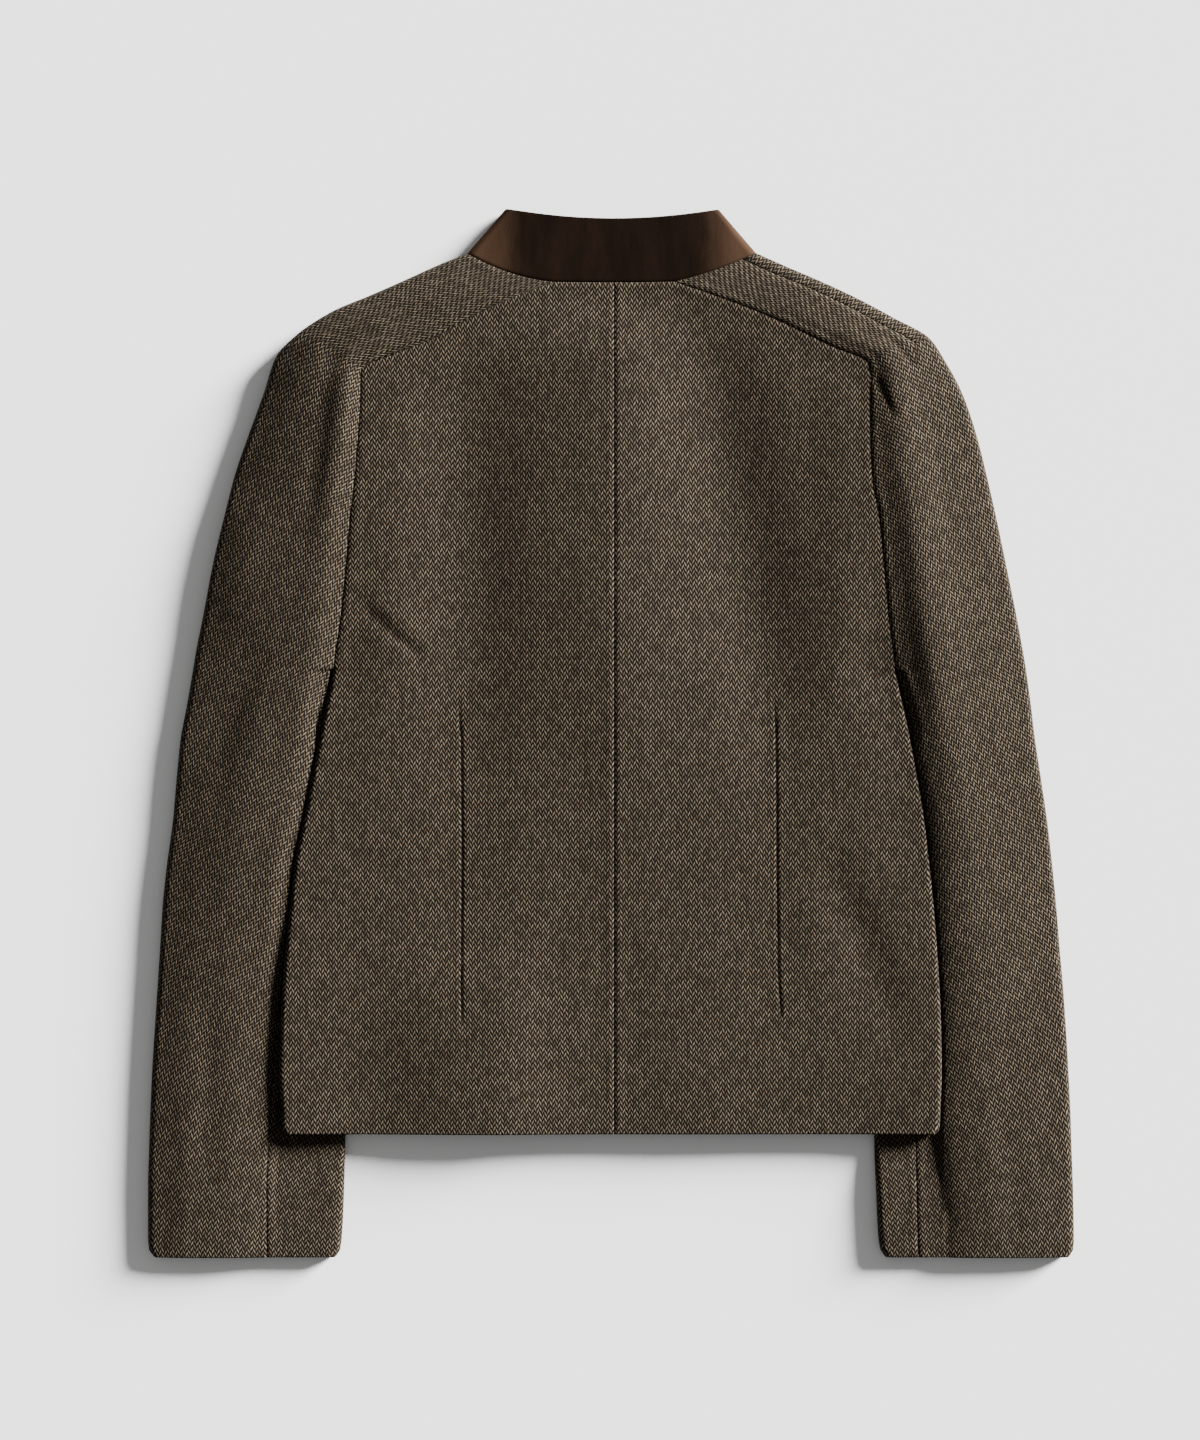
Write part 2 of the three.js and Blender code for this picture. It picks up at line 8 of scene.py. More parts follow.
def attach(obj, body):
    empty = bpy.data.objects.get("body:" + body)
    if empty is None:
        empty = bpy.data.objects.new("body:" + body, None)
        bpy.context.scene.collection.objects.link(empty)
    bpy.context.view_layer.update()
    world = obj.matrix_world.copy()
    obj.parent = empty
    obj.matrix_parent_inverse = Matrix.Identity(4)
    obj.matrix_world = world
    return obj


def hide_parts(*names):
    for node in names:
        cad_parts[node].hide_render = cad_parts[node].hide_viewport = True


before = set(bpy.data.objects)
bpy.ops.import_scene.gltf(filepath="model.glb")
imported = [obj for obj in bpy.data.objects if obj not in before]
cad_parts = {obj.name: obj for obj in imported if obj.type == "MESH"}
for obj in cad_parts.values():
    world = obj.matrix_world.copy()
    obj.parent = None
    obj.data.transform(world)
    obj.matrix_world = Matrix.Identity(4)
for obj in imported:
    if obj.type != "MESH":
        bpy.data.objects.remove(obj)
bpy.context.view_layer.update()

# Tables are in millimetres in the jacket's own plan: x outwards from the centre back seam, y up from
# the back hem, z the height of the middle of the cloth over the table top.
mm = 0.001
placeOfPlan = np.array([2.10, -278.56, 0.01])

cloth = {
    "thickness": 1.9,
    "seamGap": 0.3,
    "groundZ": 1.0,
    "nearSeam": [0.45, 1.0, 1.7, 2.6, 3.8, 5.2],  # close rows beside a seam, for its groove
    "hemRound": 0.9,  # how far a folded edge bulges
    "sewnRound": 0.05,  # and one that is sewn
}

edgeRoll = {"width": 0.9, "beyond": 5.0, "steps": 12}  # round the outer edge of shoulder and sleeve
bodyRoll = {"width": 0.8, "steps": 8}  # a quarter round the side, down to the side seam
tuckUnder = {"clearOfFold": 8.0, "slope": 40.0}
# the sleeve comes up this soon beside the body, and over this share of a shoulder section
sleeveRise = {"pastFold": 0.4, "over": 2.4, "clear": 0.6, "least": 4, "onShoulder": 0.15}

# seamX, seamY, edgeX, edgeY, bow, lowerEnd: sections from the neck over the saddle to the underarm
shoulderPlan = {
    "left": [
        [41.0, 592.5, 103, 613.0, 4, 52], [72.0, 581.0, 124, 604.5, 2, 40],
        [100.0, 567.5, 147, 594.0, 0, 32], [124.0, 553.5, 171, 583.5, 0, 25],
        [150.0, 543.0, 197, 572.5, 0, 17], [176.2, 530.5, 222, 556.0, 0, 8],
        [176.6, 515, 236.0, 541.0, 0, 8], [177.3, 497, 245.0, 514.5, 0, 8],
        [178.9, 475, 254.5, 488.5, 0, 8], [181.0, 450, 264.5, 459.5, 0, 8],
        [183.7, 427, 272.8, 427.0, 0, 8], [186.2, 396, 280.0, 397.0, 0, 7],
        [190.0, 360, 287.0, 360.0, 0, 5], [193.8, 335, 292.0, 335.0, 0, 2],
        [195.3, 324, 293.8, 324.0, 0, 0],
    ],
    "right": [
        [42.0, 592.7, 99.5, 613.3, 2, 46], [73.0, 581.8, 122, 603.2, 1, 37],
        [99.0, 572.0, 146, 592.8, 0, 30], [124.0, 560.8, 171, 581.0, 0, 23],
        [150.0, 547.8, 196, 567.6, 0, 15], [176.8, 535.2, 220, 554.0, 0, 8],
        [178.4, 519, 232.0, 536.5, 0, 8], [178.0, 499, 242.5, 517.0, 0, 8],
        [178.2, 476, 253.0, 487.0, 0, 8], [179.8, 452, 261.0, 455.0, 0, 8],
        [184.0, 430, 267.0, 428.5, 0, 8], [187.5, 396, 274.0, 395.0, 0, 7],
        [190.8, 362, 280.8, 361.5, 0, 5], [193.9, 338, 285.2, 338.0, 0, 2],
        [195.8, 324, 287.6, 324.0, 0, 0],
    ],
}
cornerRow = 5  # the section at the corner of saddle and armhole
lastShoulderRow = 14

# seamZ, then three heights across the top, rollZ and lowerZ, for the sections above
shoulderHeights = {
    "left": [
        [13.5, 13.6, 13.6, 13.2, 12.0, 1], [14.5, 14.8, 15.0, 14.6, 12.8, 1],
        [15.3, 15.9, 16.2, 15.6, 13.2, 1], [16.0, 16.8, 17.0, 16.4, 13.6, 1],
        [16.6, 17.8, 17.6, 16.6, 13.6, 1], [17.0, 19.2, 17.4, 16.4, 13.2, 1],
        [17.2, 21.4, 18.8, 15.8, 12.0, 1], [17.2, 22.2, 19.2, 15.8, 11.6, 1],
        [17.2, 22.4, 19.4, 15.8, 11.4, 1], [17.0, 22.0, 19.4, 15.8, 11.2, 1],
        [16.6, 21.4, 19.2, 15.8, 11.2, 1], [16.0, 20.6, 19.0, 15.6, 11.2, 1.4],
        [15.4, 19.9, 18.8, 15.4, 11.2, 3.2], [14.8, 19.4, 18.7, 15.2, 11.0, 6.0],
        [14.4, 19.0, 18.6, 15.0, 11.0, 8.0],
    ],
    "right": [
        [13.5, 13.6, 13.6, 13.2, 12.0, 1], [14.5, 14.7, 15.0, 14.8, 12.8, 1],
        [15.3, 15.7, 16.2, 15.8, 13.2, 1], [16.2, 16.8, 17.4, 16.4, 13.6, 1],
        [17.2, 17.8, 18.6, 17.0, 13.8, 1], [18.0, 18.8, 20.0, 17.2, 13.8, 1],
        [18.8, 20.0, 21.6, 17.0, 13.2, 1], [19.2, 20.6, 22.4, 16.8, 12.6, 1],
        [19.2, 20.8, 22.6, 16.6, 12.2, 1], [19.0, 20.6, 22.6, 16.4, 12.0, 1],
        [18.6, 20.2, 22.4, 16.4, 11.8, 1], [17.6, 19.4, 22.0, 16.2, 11.8, 1.4],
        [16.4, 18.4, 21.6, 16.2, 11.8, 3.2], [15.2, 17.4, 21.0, 16.2, 11.8, 6.0],
        [14.4, 16.8, 20.6, 16.2, 11.8, 8.0],
    ],
}
topStands = {"left": [0.18, 0.42, 0.70], "right": [0.12, 0.28, 0.62]}  # where those heights stand

# bodyX, foldX, elbowX, inseamX, edgeX at each sideY, from just under the underarm to the cuff
sideY = [322, 308, 296, 275, 248, 218, 187, 160, 128, 94, 43, 9, -5, -42, -80, -86.5]
sidePlan = {
    "left": [
        [195.9, 197.2, 200.1, 201.0, 294.1], [198.6, 199.9, 203.2, 206.0, 296.5],
        [201.0, 202.3, 205.8, 211.0, 298.6], [205.3, 204.3, 207.8, 219.0, 302.6],
        [210.4, 203.0, 209.0, 222.0, 305.4], [216.3, 200.0, 209.5, 222.0, 308.0],
        [222.6, 197.0, 212.0, 221.0, 312.2], [225.5, 194.0, 217.0, 220.0, 315.1],
        [229.0, 191.0, 225.0, 218.0, 317.1], [231.7, 189.0, 233.0, 216.0, 319.3],
        [233.4, 187.8, 238.0, 214.0, 322.6], [231.7, 188.4, 240.0, 213.0, 324.1],
        [231.7, 188.7, 241.0, 213.0, 324.6], [231.7, 189.5, 242.0, 213.0, 325.5],
        [231.7, 191.6, 242.0, 214.0, 325.5], [231.7, 195.0, 242.0, 216.0, 321.5],
    ],
    "right": [
        [196.4, 197.7, 200.6, 201.5, 287.9], [199.2, 200.5, 204.1, 206.5, 289.8],
        [201.8, 203.1, 206.6, 212.0, 291.4], [206.4, 205.4, 208.9, 219.0, 293.9],
        [211.5, 204.0, 209.0, 221.0, 298.0], [216.5, 201.0, 208.0, 221.0, 302.4],
        [220.0, 198.0, 209.0, 220.0, 306.0], [222.8, 194.0, 210.0, 218.0, 308.7],
        [225.2, 190.0, 210.0, 216.0, 311.3], [227.2, 186.0, 210.0, 213.0, 314.2],
        [228.3, 183.5, 210.0, 210.0, 317.4], [227.2, 182.8, 210.0, 208.5, 319.0],
        [227.2, 182.8, 210.5, 208.0, 319.4], [227.2, 184.0, 211.0, 208.0, 320.7],
        [227.2, 186.2, 212.0, 209.0, 321.3], [227.2, 190.0, 212.5, 211.0, 318.0],
    ],
}

# y, middle and half height of the body's side and of the sleeve's fold, and how far the fold bulges
sideLayers = [
    [322, 11.2, 3.2, 8.2, 6.2, 2.4], [308, 11.7, 3.3, 7.8, 5.8, 2.4], [296, 12.0, 3.4, 7.2, 5.6, 2.3],
    [284, 12.2, 3.4, 6.0, 4.8, 2.2], [275, 12.2, 3.4, 4.6, 3.6, 2.1], [262, 12.2, 3.4, 3.75, 2.75, 2.3],
    [-5, 12.2, 3.4, 3.75, 2.75, 2.5], [-42, 12.2, 3.4, 4.8, 3.8, 3.2], [-80, 12.2, 3.4, 4.8, 3.8, 3.2],
    [-86.5, 12.2, 3.4, 4.6, 3.6, 3.0],
]
# y, the height right beside the body, then the three heights across the sleeve's top and its rollZ
sleeveHeights = {
    "left": [
        [322, 15.2, 19.0, 18.6, 15.0, 11.0], [275, 14.2, 18.2, 18.2, 14.4, 10.8],
        [218, 13.6, 17.2, 17.4, 14.4, 10.6], [160, 12.8, 16.0, 16.0, 13.7, 10.4],
        [94, 8.6, 13.4, 14.6, 13.2, 10.2], [9, 7.2, 11.6, 13.2, 12.4, 9.8],
        [-42, 7.6, 11.2, 12.6, 11.8, 9.6], [-86.5, 7.2, 9.6, 11.0, 10.8, 9.0],
    ],
    "right": [
        [322, 16.2, 16.8, 20.6, 16.2, 11.8], [275, 15.2, 17.6, 19.6, 15.6, 11.4],
        [218, 15.0, 17.4, 18.6, 15.0, 11.0], [160, 14.6, 16.6, 17.4, 14.6, 10.8],
        [94, 13.2, 15.0, 15.8, 13.8, 10.6], [9, 10.6, 12.4, 13.4, 12.6, 10.4],
        [-42, 9.2, 11.6, 12.6, 11.8, 10.0], [-86.5, 7.6, 9.8, 11.0, 10.8, 9.2],
    ],
}

centreBackY = [592.2, 565, 538, 509, 480, 448, 412, 374, 340, 324]
neckline = [[78, 582], [54, 560], [27, 548], [0, 545]]
centreFrontY = [500, 455, 405, 350, 324]
backHeights = [
    [0, 13.0], [60, 14.2], [160, 15.6], [324, 16.8], [450, 17.0], [530, 16.8], [560, 16.0], [592.2, 13.5],
]
hemInset = [[0, 3.2], [3, 0.6], [9, 0]]
neckBand = {"centreY": 592.2, "centreZ": 13.5}
collar = {
    "topRatio": 0.738, "topY": 636.6, "topRise": 7, "topX": 76, "flatten": 0.8,
    "rowsBelow": 3.88,  # sections of the front's neckline that the ends reach over
    "endRise": 45, "height": 46, "rows": 14,
}

# Broad soft folds of the back: x, y, direction x and y, half length, half width, height
backFolds = [
    [-4, 425, 0.00, 1, 170, 44, 4.4], [-102, 428, -0.02, 1, 150, 36, -3.7],
    [84, 428, -0.19, 1, 150, 34, -5.2],
    [-168, 428, 0.00, 1, 140, 24, 1.4], [174, 430, 0.00, 1, 140, 24, 2.9],
    [-104, 190, 0.00, 1, 120, 26, -1.4], [108, 190, 0.00, 1, 130, 26, -1.4],
    [188, 106, -0.50, 1, 90, 17, -2.4], [-104, 34, 0.00, 1, 90, 44, 4.6], [-70, 34, 0.00, 1, 80, 22, 2.0],
    [-34, 40, 0.00, 1, 80, 26, 1.0], [60, 40, 0.00, 1, 80, 44, 1.2], [-62, 428, 0.00, 1, 150, 28, 0.9],
]

# Creases and small drape, each a soft ridge (+) or trough (-) in its own size, laid out by piece
creases = {
    "back": [
        [-156, 350, 0.85, -0.75, 27, 3.4, -1.3], [-150, 357, 0.85, -0.75, 25, 5.0, 0.6],
        [-30, 180, 0.10, 1, 120, 16, -0.5], [20, 240, -0.05, 1, 150, 14, 0.4],
        [-180, 400, 0.16, 1, 70, 10, 0.5], [100, 160, -0.08, 1, 90, 14, 0.4],
        [160, 250, 0.12, 1, 90, 12, -0.5],
    ],
    "sleeve": [
        [-282, 30, 0.02, 1, 60, 9, -0.9], [-246, -46, 0.03, 1, 40, 6, -0.6],
        [-262, 300, 0.5, 1, 46, 16, -1.2], [288, 90, 0.25, 1, 70, 16, -1.1],
        [-262, 400, 0.10, 1, 44, 20, 1.6], [-204, 480, 0.14, 1, 70, 7, -1.2],
        [236, 200, -0.12, 1, 90, 12, 0.5], [262, -30, -0.06, 1, 50, 7, 0.6],
        [-298, -40, 0.05, 1, 45, 7, 0.5], [280, -46, 0.02, 1, 36, 6, -0.5],
        [188, 512, 0.41, -0.91, 17, 2.8, -1.2], [201, 542, 0.65, -0.75, 12, 2.8, -1.0],
    ],
    "under": [
        [-120, 300, 0.1, 1, 160, 14, 0.6], [90, 200, -0.1, 1, 150, 16, 0.5],
        [-250, 100, 0.05, 1, 150, 10, 0.5], [262, 60, -0.04, 1, 150, 10, 0.5],
    ],
}


# curves
def through(positions, values, at):
    # a smooth curve through the rows of a table that never swings past them
    x = np.asarray(positions, float)
    y = np.asarray(values, float)
    flat = y.ndim == 1
    y = y[:, None] if flat else y
    if x[0] > x[-1]:
        x, y = x[::-1], y[::-1]
    slopes = np.diff(y, axis=0) / np.diff(x)[:, None]
    before = np.vstack([slopes[:1], slopes])
    after = np.vstack([slopes, slopes[-1:]])
    total = before + after
    tangents = np.where(before * after > 0, 2 * before * after / np.where(total == 0, 1, total), 0)
    q = np.clip(np.asarray(at, float).reshape(-1), x[0], x[-1])
    i = np.clip(np.searchsorted(x, q, side="right") - 1, 0, len(x) - 2)
    span = (x[i + 1] - x[i])[:, None]
    t = ((q - x[i]) / span[:, 0])[:, None]
    result = (
        y[i] * (1 + 2 * t) * (1 - t) ** 2 + y[i + 1] * t * t * (3 - 2 * t)
        + tangents[i] * span * t * (1 - t) ** 2 - tangents[i + 1] * span * t * t * (1 - t)
    )
    return result[:, 0] if flat else result


def smooth(t):
    u = np.clip(t, 0, 1)
    return u * u * (3 - 2 * u)


def mix(a, b, t):
    return a + (b - a) * t


def foldSum(folds, x, y):
    total = np.zeros_like(x)
    for foldX, foldY, alongX, alongY, halfLength, halfWidth, height in folds:
        length = math.hypot(alongX, alongY)
        along = ((x - foldX) * alongX + (y - foldY) * alongY) / length
        across = ((x - foldX) * alongY - (y - foldY) * alongX) / length
        total += height * np.exp(-((across / halfWidth) ** 2) - (along / halfLength) ** 4)
    return total


def backSurface(x, y):
    heights = np.array(backHeights)
    return through(heights[:, 0], heights[:, 1], y) + foldSum(backFolds, x, y)


def besideSeams(start, end, count, atStart=True, atEnd=True):
    # positions from start to end: close together beside a seam, even in between
    near = cloth["nearSeam"]
    first = [start] + [start + d for d in near] if atStart else [start]
    last = [end - d for d in reversed(near)] + [end] if atEnd else [end]
    inner = np.linspace(first[-1], last[0], count)[1:-1]
    return np.concatenate([first, inner, last])


# sections of the sleeve
upperCount = 20  # even positions on a section's top
riseCount = 9  # closer ones before them, where the sleeve comes up beside the body
lowerCount = 18
beyondSteps = [0.45, 1.0, 1.7, 2.6, 3.8]
columnsToSeam = 2 * len(cloth["nearSeam"]) + upperCount + riseCount - 1
columnsToEdge = columnsToSeam + len(beyondSteps) + 1 + edgeRoll["steps"] // 2
lowerRisesFrom = 0.72


def sectionPoints(place, start, risen, edge, lowerEnd, topZ, rollZ, lowerZ):
    # from its start over the top, round the outer edge and back underneath
    ground = cloth["groundZ"]
    half = (rollZ - ground) / 2
    width = edgeRoll["width"] * half
    centre = edge - ground - width
    closing = 1 - np.linspace(1, 0, riseCount + 1) ** 2
    near = besideSeams(start, risen, 2, atEnd=False)[:-1]
    rise = mix(near[-1], max(risen, near[-1] + sleeveRise["least"]), closing)[1:]
    evenEnd = centre - edgeRoll["beyond"]
    even = besideSeams(rise[-1], evenEnd, upperCount, False)[1:]
    upper = np.concatenate([near, rise, even, evenEnd + np.array(beyondSteps)])
    angle = np.pi * np.arange(edgeRoll["steps"] + 1) / edgeRoll["steps"]
    rollQ = centre + width * np.sin(angle)
    rollHeights = ground + half + half * np.cos(angle)
    steps = np.linspace(0, 1, lowerCount)[1:]
    lowerQ = mix(centre, lowerEnd, steps)
    lowerHeights = mix(ground, lowerZ, smooth((steps - lowerRisesFrom) / (1 - lowerRisesFrom)))
    q = np.concatenate([upper, rollQ, lowerQ])
    z = np.concatenate([topZ(upper), rollHeights, lowerHeights])
    return place(q, z)


def shoulderSection(sign, stands, row, heights):
    seamX, seamY, edgeX, edgeY, bow, lowerEnd = row
    seamZ, firstZ, secondZ, thirdZ, rollZ, lowerZ = heights
    length = math.hypot(edgeX - seamX, edgeY - seamY)
    half = (rollZ - cloth["groundZ"]) / 2
    centre = length - cloth["groundZ"] - edgeRoll["width"] * half
    knots = [0] + [at * length for at in stands] + [centre]
    values = [seamZ, firstZ, secondZ, thirdZ, rollZ]

    def place(q, z):
        f = q / length
        sag = bow * 4 * f * (1 - f)
        return np.stack([sign * mix(seamX, edgeX, f), mix(seamY, edgeY, f) - sag, z], axis=1)

    def topZ(q):
        return through(knots, values, q)

    risen = sleeveRise["onShoulder"] * length
    return sectionPoints(place, 0, risen, length, lowerEnd, topZ, rollZ, lowerZ)


def riseOf(row, layers):
    # where the sleeve starts to rise beside the body's edge, and where it is up
    start = max(row[0], row[1] + layers[4] + sleeveRise["pastFold"])
    return start, start + sleeveRise["over"]


def sleeveTop(stands, row, layers, heights):
    bodyX, foldX, elbowX, inseamX, edgeX = row
    bodyMid, bodyHalf, foldMid, foldHalf, foldWidth = layers
    besideZ, firstZ, secondZ, thirdZ, rollZ = heights
    width = edgeX - bodyX
    half = (rollZ - cloth["groundZ"]) / 2
    foldTop = foldMid + foldHalf
    riseFrom, risen = riseOf(row, layers)
    knots = [foldX + foldWidth, riseFrom, risen] + [bodyX + at * width for at in stands]
    knots += [edgeX - cloth["groundZ"] - edgeRoll["width"] * half]
    values = [foldTop, foldTop, max(besideZ, foldTop), firstZ, secondZ, thirdZ, rollZ]
    return lambda q: through(knots, values, q)


def armSection(sign, stands, y, row, layers, heights):
    bodyX, foldX, elbowX, inseamX, edgeX = row

    def place(q, z):
        return np.stack([sign * q, np.full(len(q), y), z], axis=1)

    top = sleeveTop(stands, row, layers, heights)
    risen = riseOf(row, layers)[1] + sleeveRise["clear"]
    return sectionPoints(place, elbowX, risen, edgeX, inseamX, top, heights[4], cloth["groundZ"])


# shares of the way from the fold to the elbow seam between which the under sleeve rises
underRise = {"seamShare": 0.4, "outer": 0.7, "outerGap": 0.15, "inner": 0.3, "between": 0.2}
underRise |= {"beside": 0.5, "wellInside": 8}  # and in mm, for a rise well away from the seam


def underSection(sign, stands, y, row, layers, heights):
    # the under sleeve: from the elbow seam inwards, round the hidden fold and out to the inner seam
    bodyX, foldX, elbowX, inseamX, edgeX = row
    bodyMid, bodyHalf, foldMid, foldHalf, foldWidth = layers
    top = sleeveTop(stands, row, layers, heights)
    centre = foldX + foldWidth
    near = np.array([0] + cloth["nearSeam"])
    reach = elbowX - centre
    near = near * min(1, underRise["seamShare"] * reach / near[-1])
    riseFrom, risen = riseOf(row, layers)
    share = reach - near[-1]
    beside = underRise["beside"]
    lastPlace = elbowX - near[-1] - underRise["outerGap"] * share
    outer = np.clip(risen + beside, centre + underRise["outer"] * share, lastPlace)
    innerLast = outer - underRise["between"] * share
    inner = np.clip(riseFrom - beside, centre + underRise["inner"] * share, innerLast)
    if riseFrom < elbowX - near[-1] - underRise["wellInside"]:
        outer, inner = risen + beside, riseFrom - beside
    topQ = np.concatenate([
        elbowX - near, np.linspace(elbowX - near[-1], outer, 6)[1:], np.linspace(outer, inner, 7)[1:],
        np.linspace(inner, centre, 6)[1:-1]])
    angle = np.pi * np.arange(13) / 12
    rollQ = centre - foldWidth * np.sin(angle)
    rollZ = foldMid + foldHalf * np.cos(angle)
    lowQ = np.linspace(centre, inseamX, 8)[1:]
    low = mix(foldMid - foldHalf, cloth["groundZ"], np.linspace(0, 1, 8)[1:])
    q = np.concatenate([topQ, rollQ, lowQ])
    z = np.concatenate([top(topQ), rollZ, low])
    return np.stack([sign * q, np.full(len(q), y), z], axis=1)


# rows of each side
shoulderRowsAt = {"spacing": 30, "overSaddle": 44, "downArmhole": 74}  # mm between sections, and even rows


def sideRows(side):
    shoulder = np.array(shoulderPlan[side])
    heights = np.array(shoulderHeights[side])
    spacing = shoulderRowsAt["spacing"]
    corner, last = cornerRow * spacing, lastShoulderRow * spacing
    at = np.concatenate([
        besideSeams(0, corner, shoulderRowsAt["overSaddle"]) / spacing,
        besideSeams(corner, last, shoulderRowsAt["downArmhole"], atEnd=False)[1:] / spacing,
    ])
    sections = np.arange(lastShoulderRow + 1)
    shoulder = through(sections, shoulder, at)
    heights = through(sections, heights, at)
    corner = int(np.argmin(np.abs(at - cornerRow)))
    y = np.concatenate([
        [322, 320], np.arange(316, 12, -4.0), [10, 9], np.arange(4, -80, -4.0),
        [-82, -84, -85.4, -86.1, -86.5]])
    table = np.array(sidePlan[side])
    layers = np.array(sideLayers)
    tops = np.array(sleeveHeights[side])
    bodyY = np.concatenate([y[y >= 9], [7.4, 6, 4.8, 3.8, 3, 2.2, 1.5, 0.9, 0.4, 0]])

    def rowsAt(heightsY):
        return (
            through(sideY, table, heightsY), through(layers[:, 0], layers[:, 1:], heightsY),
            through(tops[:, 0], tops[:, 1:], heightsY),
        )

    return {
        "sign": -1 if side == "left" else 1, "stands": topStands[side], "at": at, "corner": corner,
        "shoulder": shoulder, "heights": heights,
        "y": y, "side": rowsAt(y), "bodyY": bodyY, "body": rowsAt(bodyY),
    }


def bridged(above, below, count=2):
    # rows between the last section of the armhole and the first one under the arm
    return [mix(above, below, (i + 1) / (count + 1)) for i in range(count)]


def sleeveGrid(rows):
    sign, stands = rows["sign"], rows["stands"]
    grid = [shoulderSection(sign, stands, row, z) for row, z in zip(rows["shoulder"], rows["heights"])]
    side, layers, tops = rows["side"]
    below = [armSection(sign, stands, y, *values) for y, *values in zip(rows["y"], side, layers, tops)]
    return np.array(grid + bridged(grid[-1], below[0]) + below)


def underGrid(rows):
    side, layers, tops = rows["side"]
    return np.array([
        underSection(rows["sign"], rows["stands"], y, *values)
        for y, *values in zip(rows["y"], side, layers, tops)])


def sideRoll(bodyX, layers, upper):
    bodyMid, bodyHalf = layers[:2]
    width = bodyRoll["width"] * bodyHalf
    centre = bodyX - cloth["groundZ"] - width
    turn = np.pi / 2 * np.arange(bodyRoll["steps"] + 1) / bodyRoll["steps"]
    sense = 1 if upper else -1
    return centre, centre + width * np.sin(turn), bodyMid + sense * bodyHalf * np.cos(turn)


backMesh = {
    "neck": 26,  # even positions along the neck
    "settleBy": 1.15,  # the rows lie level this much sooner than the underarm
    "yokeDepth": 50,  # the rows take the back's own height over this distance below the top
    "sideBlend": 0.72,  # share of a row where the back starts to settle to its side edge
    "reach": 214.0,  # centre back to the side's roll, for sharing out the columns
    "insideDart": 0.45,  # share of the plain columns between the centre seam and the dart
}


def rollShares(rollWidth, width):
    # shares of a row at which its last columns lie, round the body's side
    steps = bodyRoll["steps"]
    return 1 - rollWidth * (steps - 1 - np.arange(steps)) / steps / width


def backGrid(rows, sleeve):
    sideBlend = backMesh["sideBlend"]
    sign, corner = rows["sign"], rows["corner"]
    neckEnd = sleeve[0, 0]
    share = besideSeams(0, abs(neckEnd[0]), backMesh["neck"], atEnd=False)[:-1] / abs(neckEnd[0])
    neck = np.stack([
        neckEnd[0] * share, mix(neckBand["centreY"], neckEnd[1], share * share),
        mix(neckBand["centreZ"], neckEnd[2], share * share)], axis=1)
    top = np.vstack([neck, sleeve[:corner + 1, 0]])
    columns = len(top) - 1
    cornerPoint = top[-1]
    topShare = top[:, 0] / cornerPoint[0]
    drop = (top[:, 1] - cornerPoint[1]) / (top[0, 1] - cornerPoint[1])
    spread = backColumns(columns)
    grid = [top]
    at = rows["at"][corner + 1:]
    rollWidth = bodyRoll["width"] * sideLayers[0][2]
    for j, t in enumerate(at):
        outer = sleeve[corner + 1 + j, 0]
        settle = smooth((t - cornerRow) / (lastShoulderRow - cornerRow) * backMesh["settleBy"])
        width = rows["shoulder"][corner + 1 + j][0]
        shares = np.concatenate([spread * (1 - rollWidth / width), rollShares(rollWidth, width)])
        s = mix(topShare, shares, settle)
        x = outer[0] * s
        centreY = through(np.arange(len(centreBackY)), centreBackY, [t - cornerRow])[0]
        y = mix(outer[1], centreY, mix(drop, 1 - s, settle))
        z = mix(backSurface(x, y), outer[2], smooth((s - sideBlend) / (1 - sideBlend)))
        z = mix(top[:, 2], z, smooth((top[:, 1] - y) / backMesh["yokeDepth"]))
        line = np.stack([x, y, z], axis=1)
        line[-1] = outer
        grid.append(line)
    side, layers, tops = rows["body"]
    inset = np.array(hemInset)
    body = []
    for y, row, layer in zip(rows["bodyY"], side, layers):
        bodyX = row[0] - through(inset[:, 0], inset[:, 1], [y])[0]
        centre, rollX, rollZ = sideRoll(bodyX, layer, True)
        x = sign * centre * spread
        reach = centre / row[0]
        nearSide = smooth((spread * reach - sideBlend) / (reach - sideBlend))
        z = mix(backSurface(x, np.full(len(x), y)), layer[0] + layer[1], nearSide)
        s = np.concatenate([x, sign * rollX[1:]])
        body.append(np.stack([s, np.full(len(s), y), np.concatenate([z, rollZ[1:]])], axis=1))
    return np.array(grid + bridged(grid[-1], body[0]) + body)


darts = {
    "left": [[302, -108.5], [276, -106.4], [204, -105.7], [106, -106.4], [74, -105.7]],
    "right": [[303, 111.3], [277, 112.7], [169, 113.4], [113, 114.1], [80.5, 116.2]],
    "columns": 30, "columnsFrom": 96.5, "columnsTo": 123.5,  # close columns under both darts
}


def backColumns(columns):
    # shares from the centre back to the side's roll, close together at the centre seam and at the dart
    flat = columns - bodyRoll["steps"]
    reach = backMesh["reach"]
    near = [0] + cloth["nearSeam"]
    dart = np.linspace(darts["columnsFrom"], darts["columnsTo"], darts["columns"])
    rest = flat + 1 - len(near) - len(dart)
    inside = int(round(rest * backMesh["insideDart"]))
    a = np.linspace(near[-1], dart[0], inside + 2)[1:-1]
    b = np.linspace(dart[-1], reach, rest - inside + 1)[1:]
    return np.concatenate([near, a, dart, b]) / reach


# shares of a row of the front: the level part, the slope up to the side, and the dip under the arm
frontRows = {
    "levelTo": 0.5, "slopeOver": 0.4, "slopeTo": 0.9, "sideOver": 0.1, "dipFrom": 0.76, "dipOver": 0.2,
}


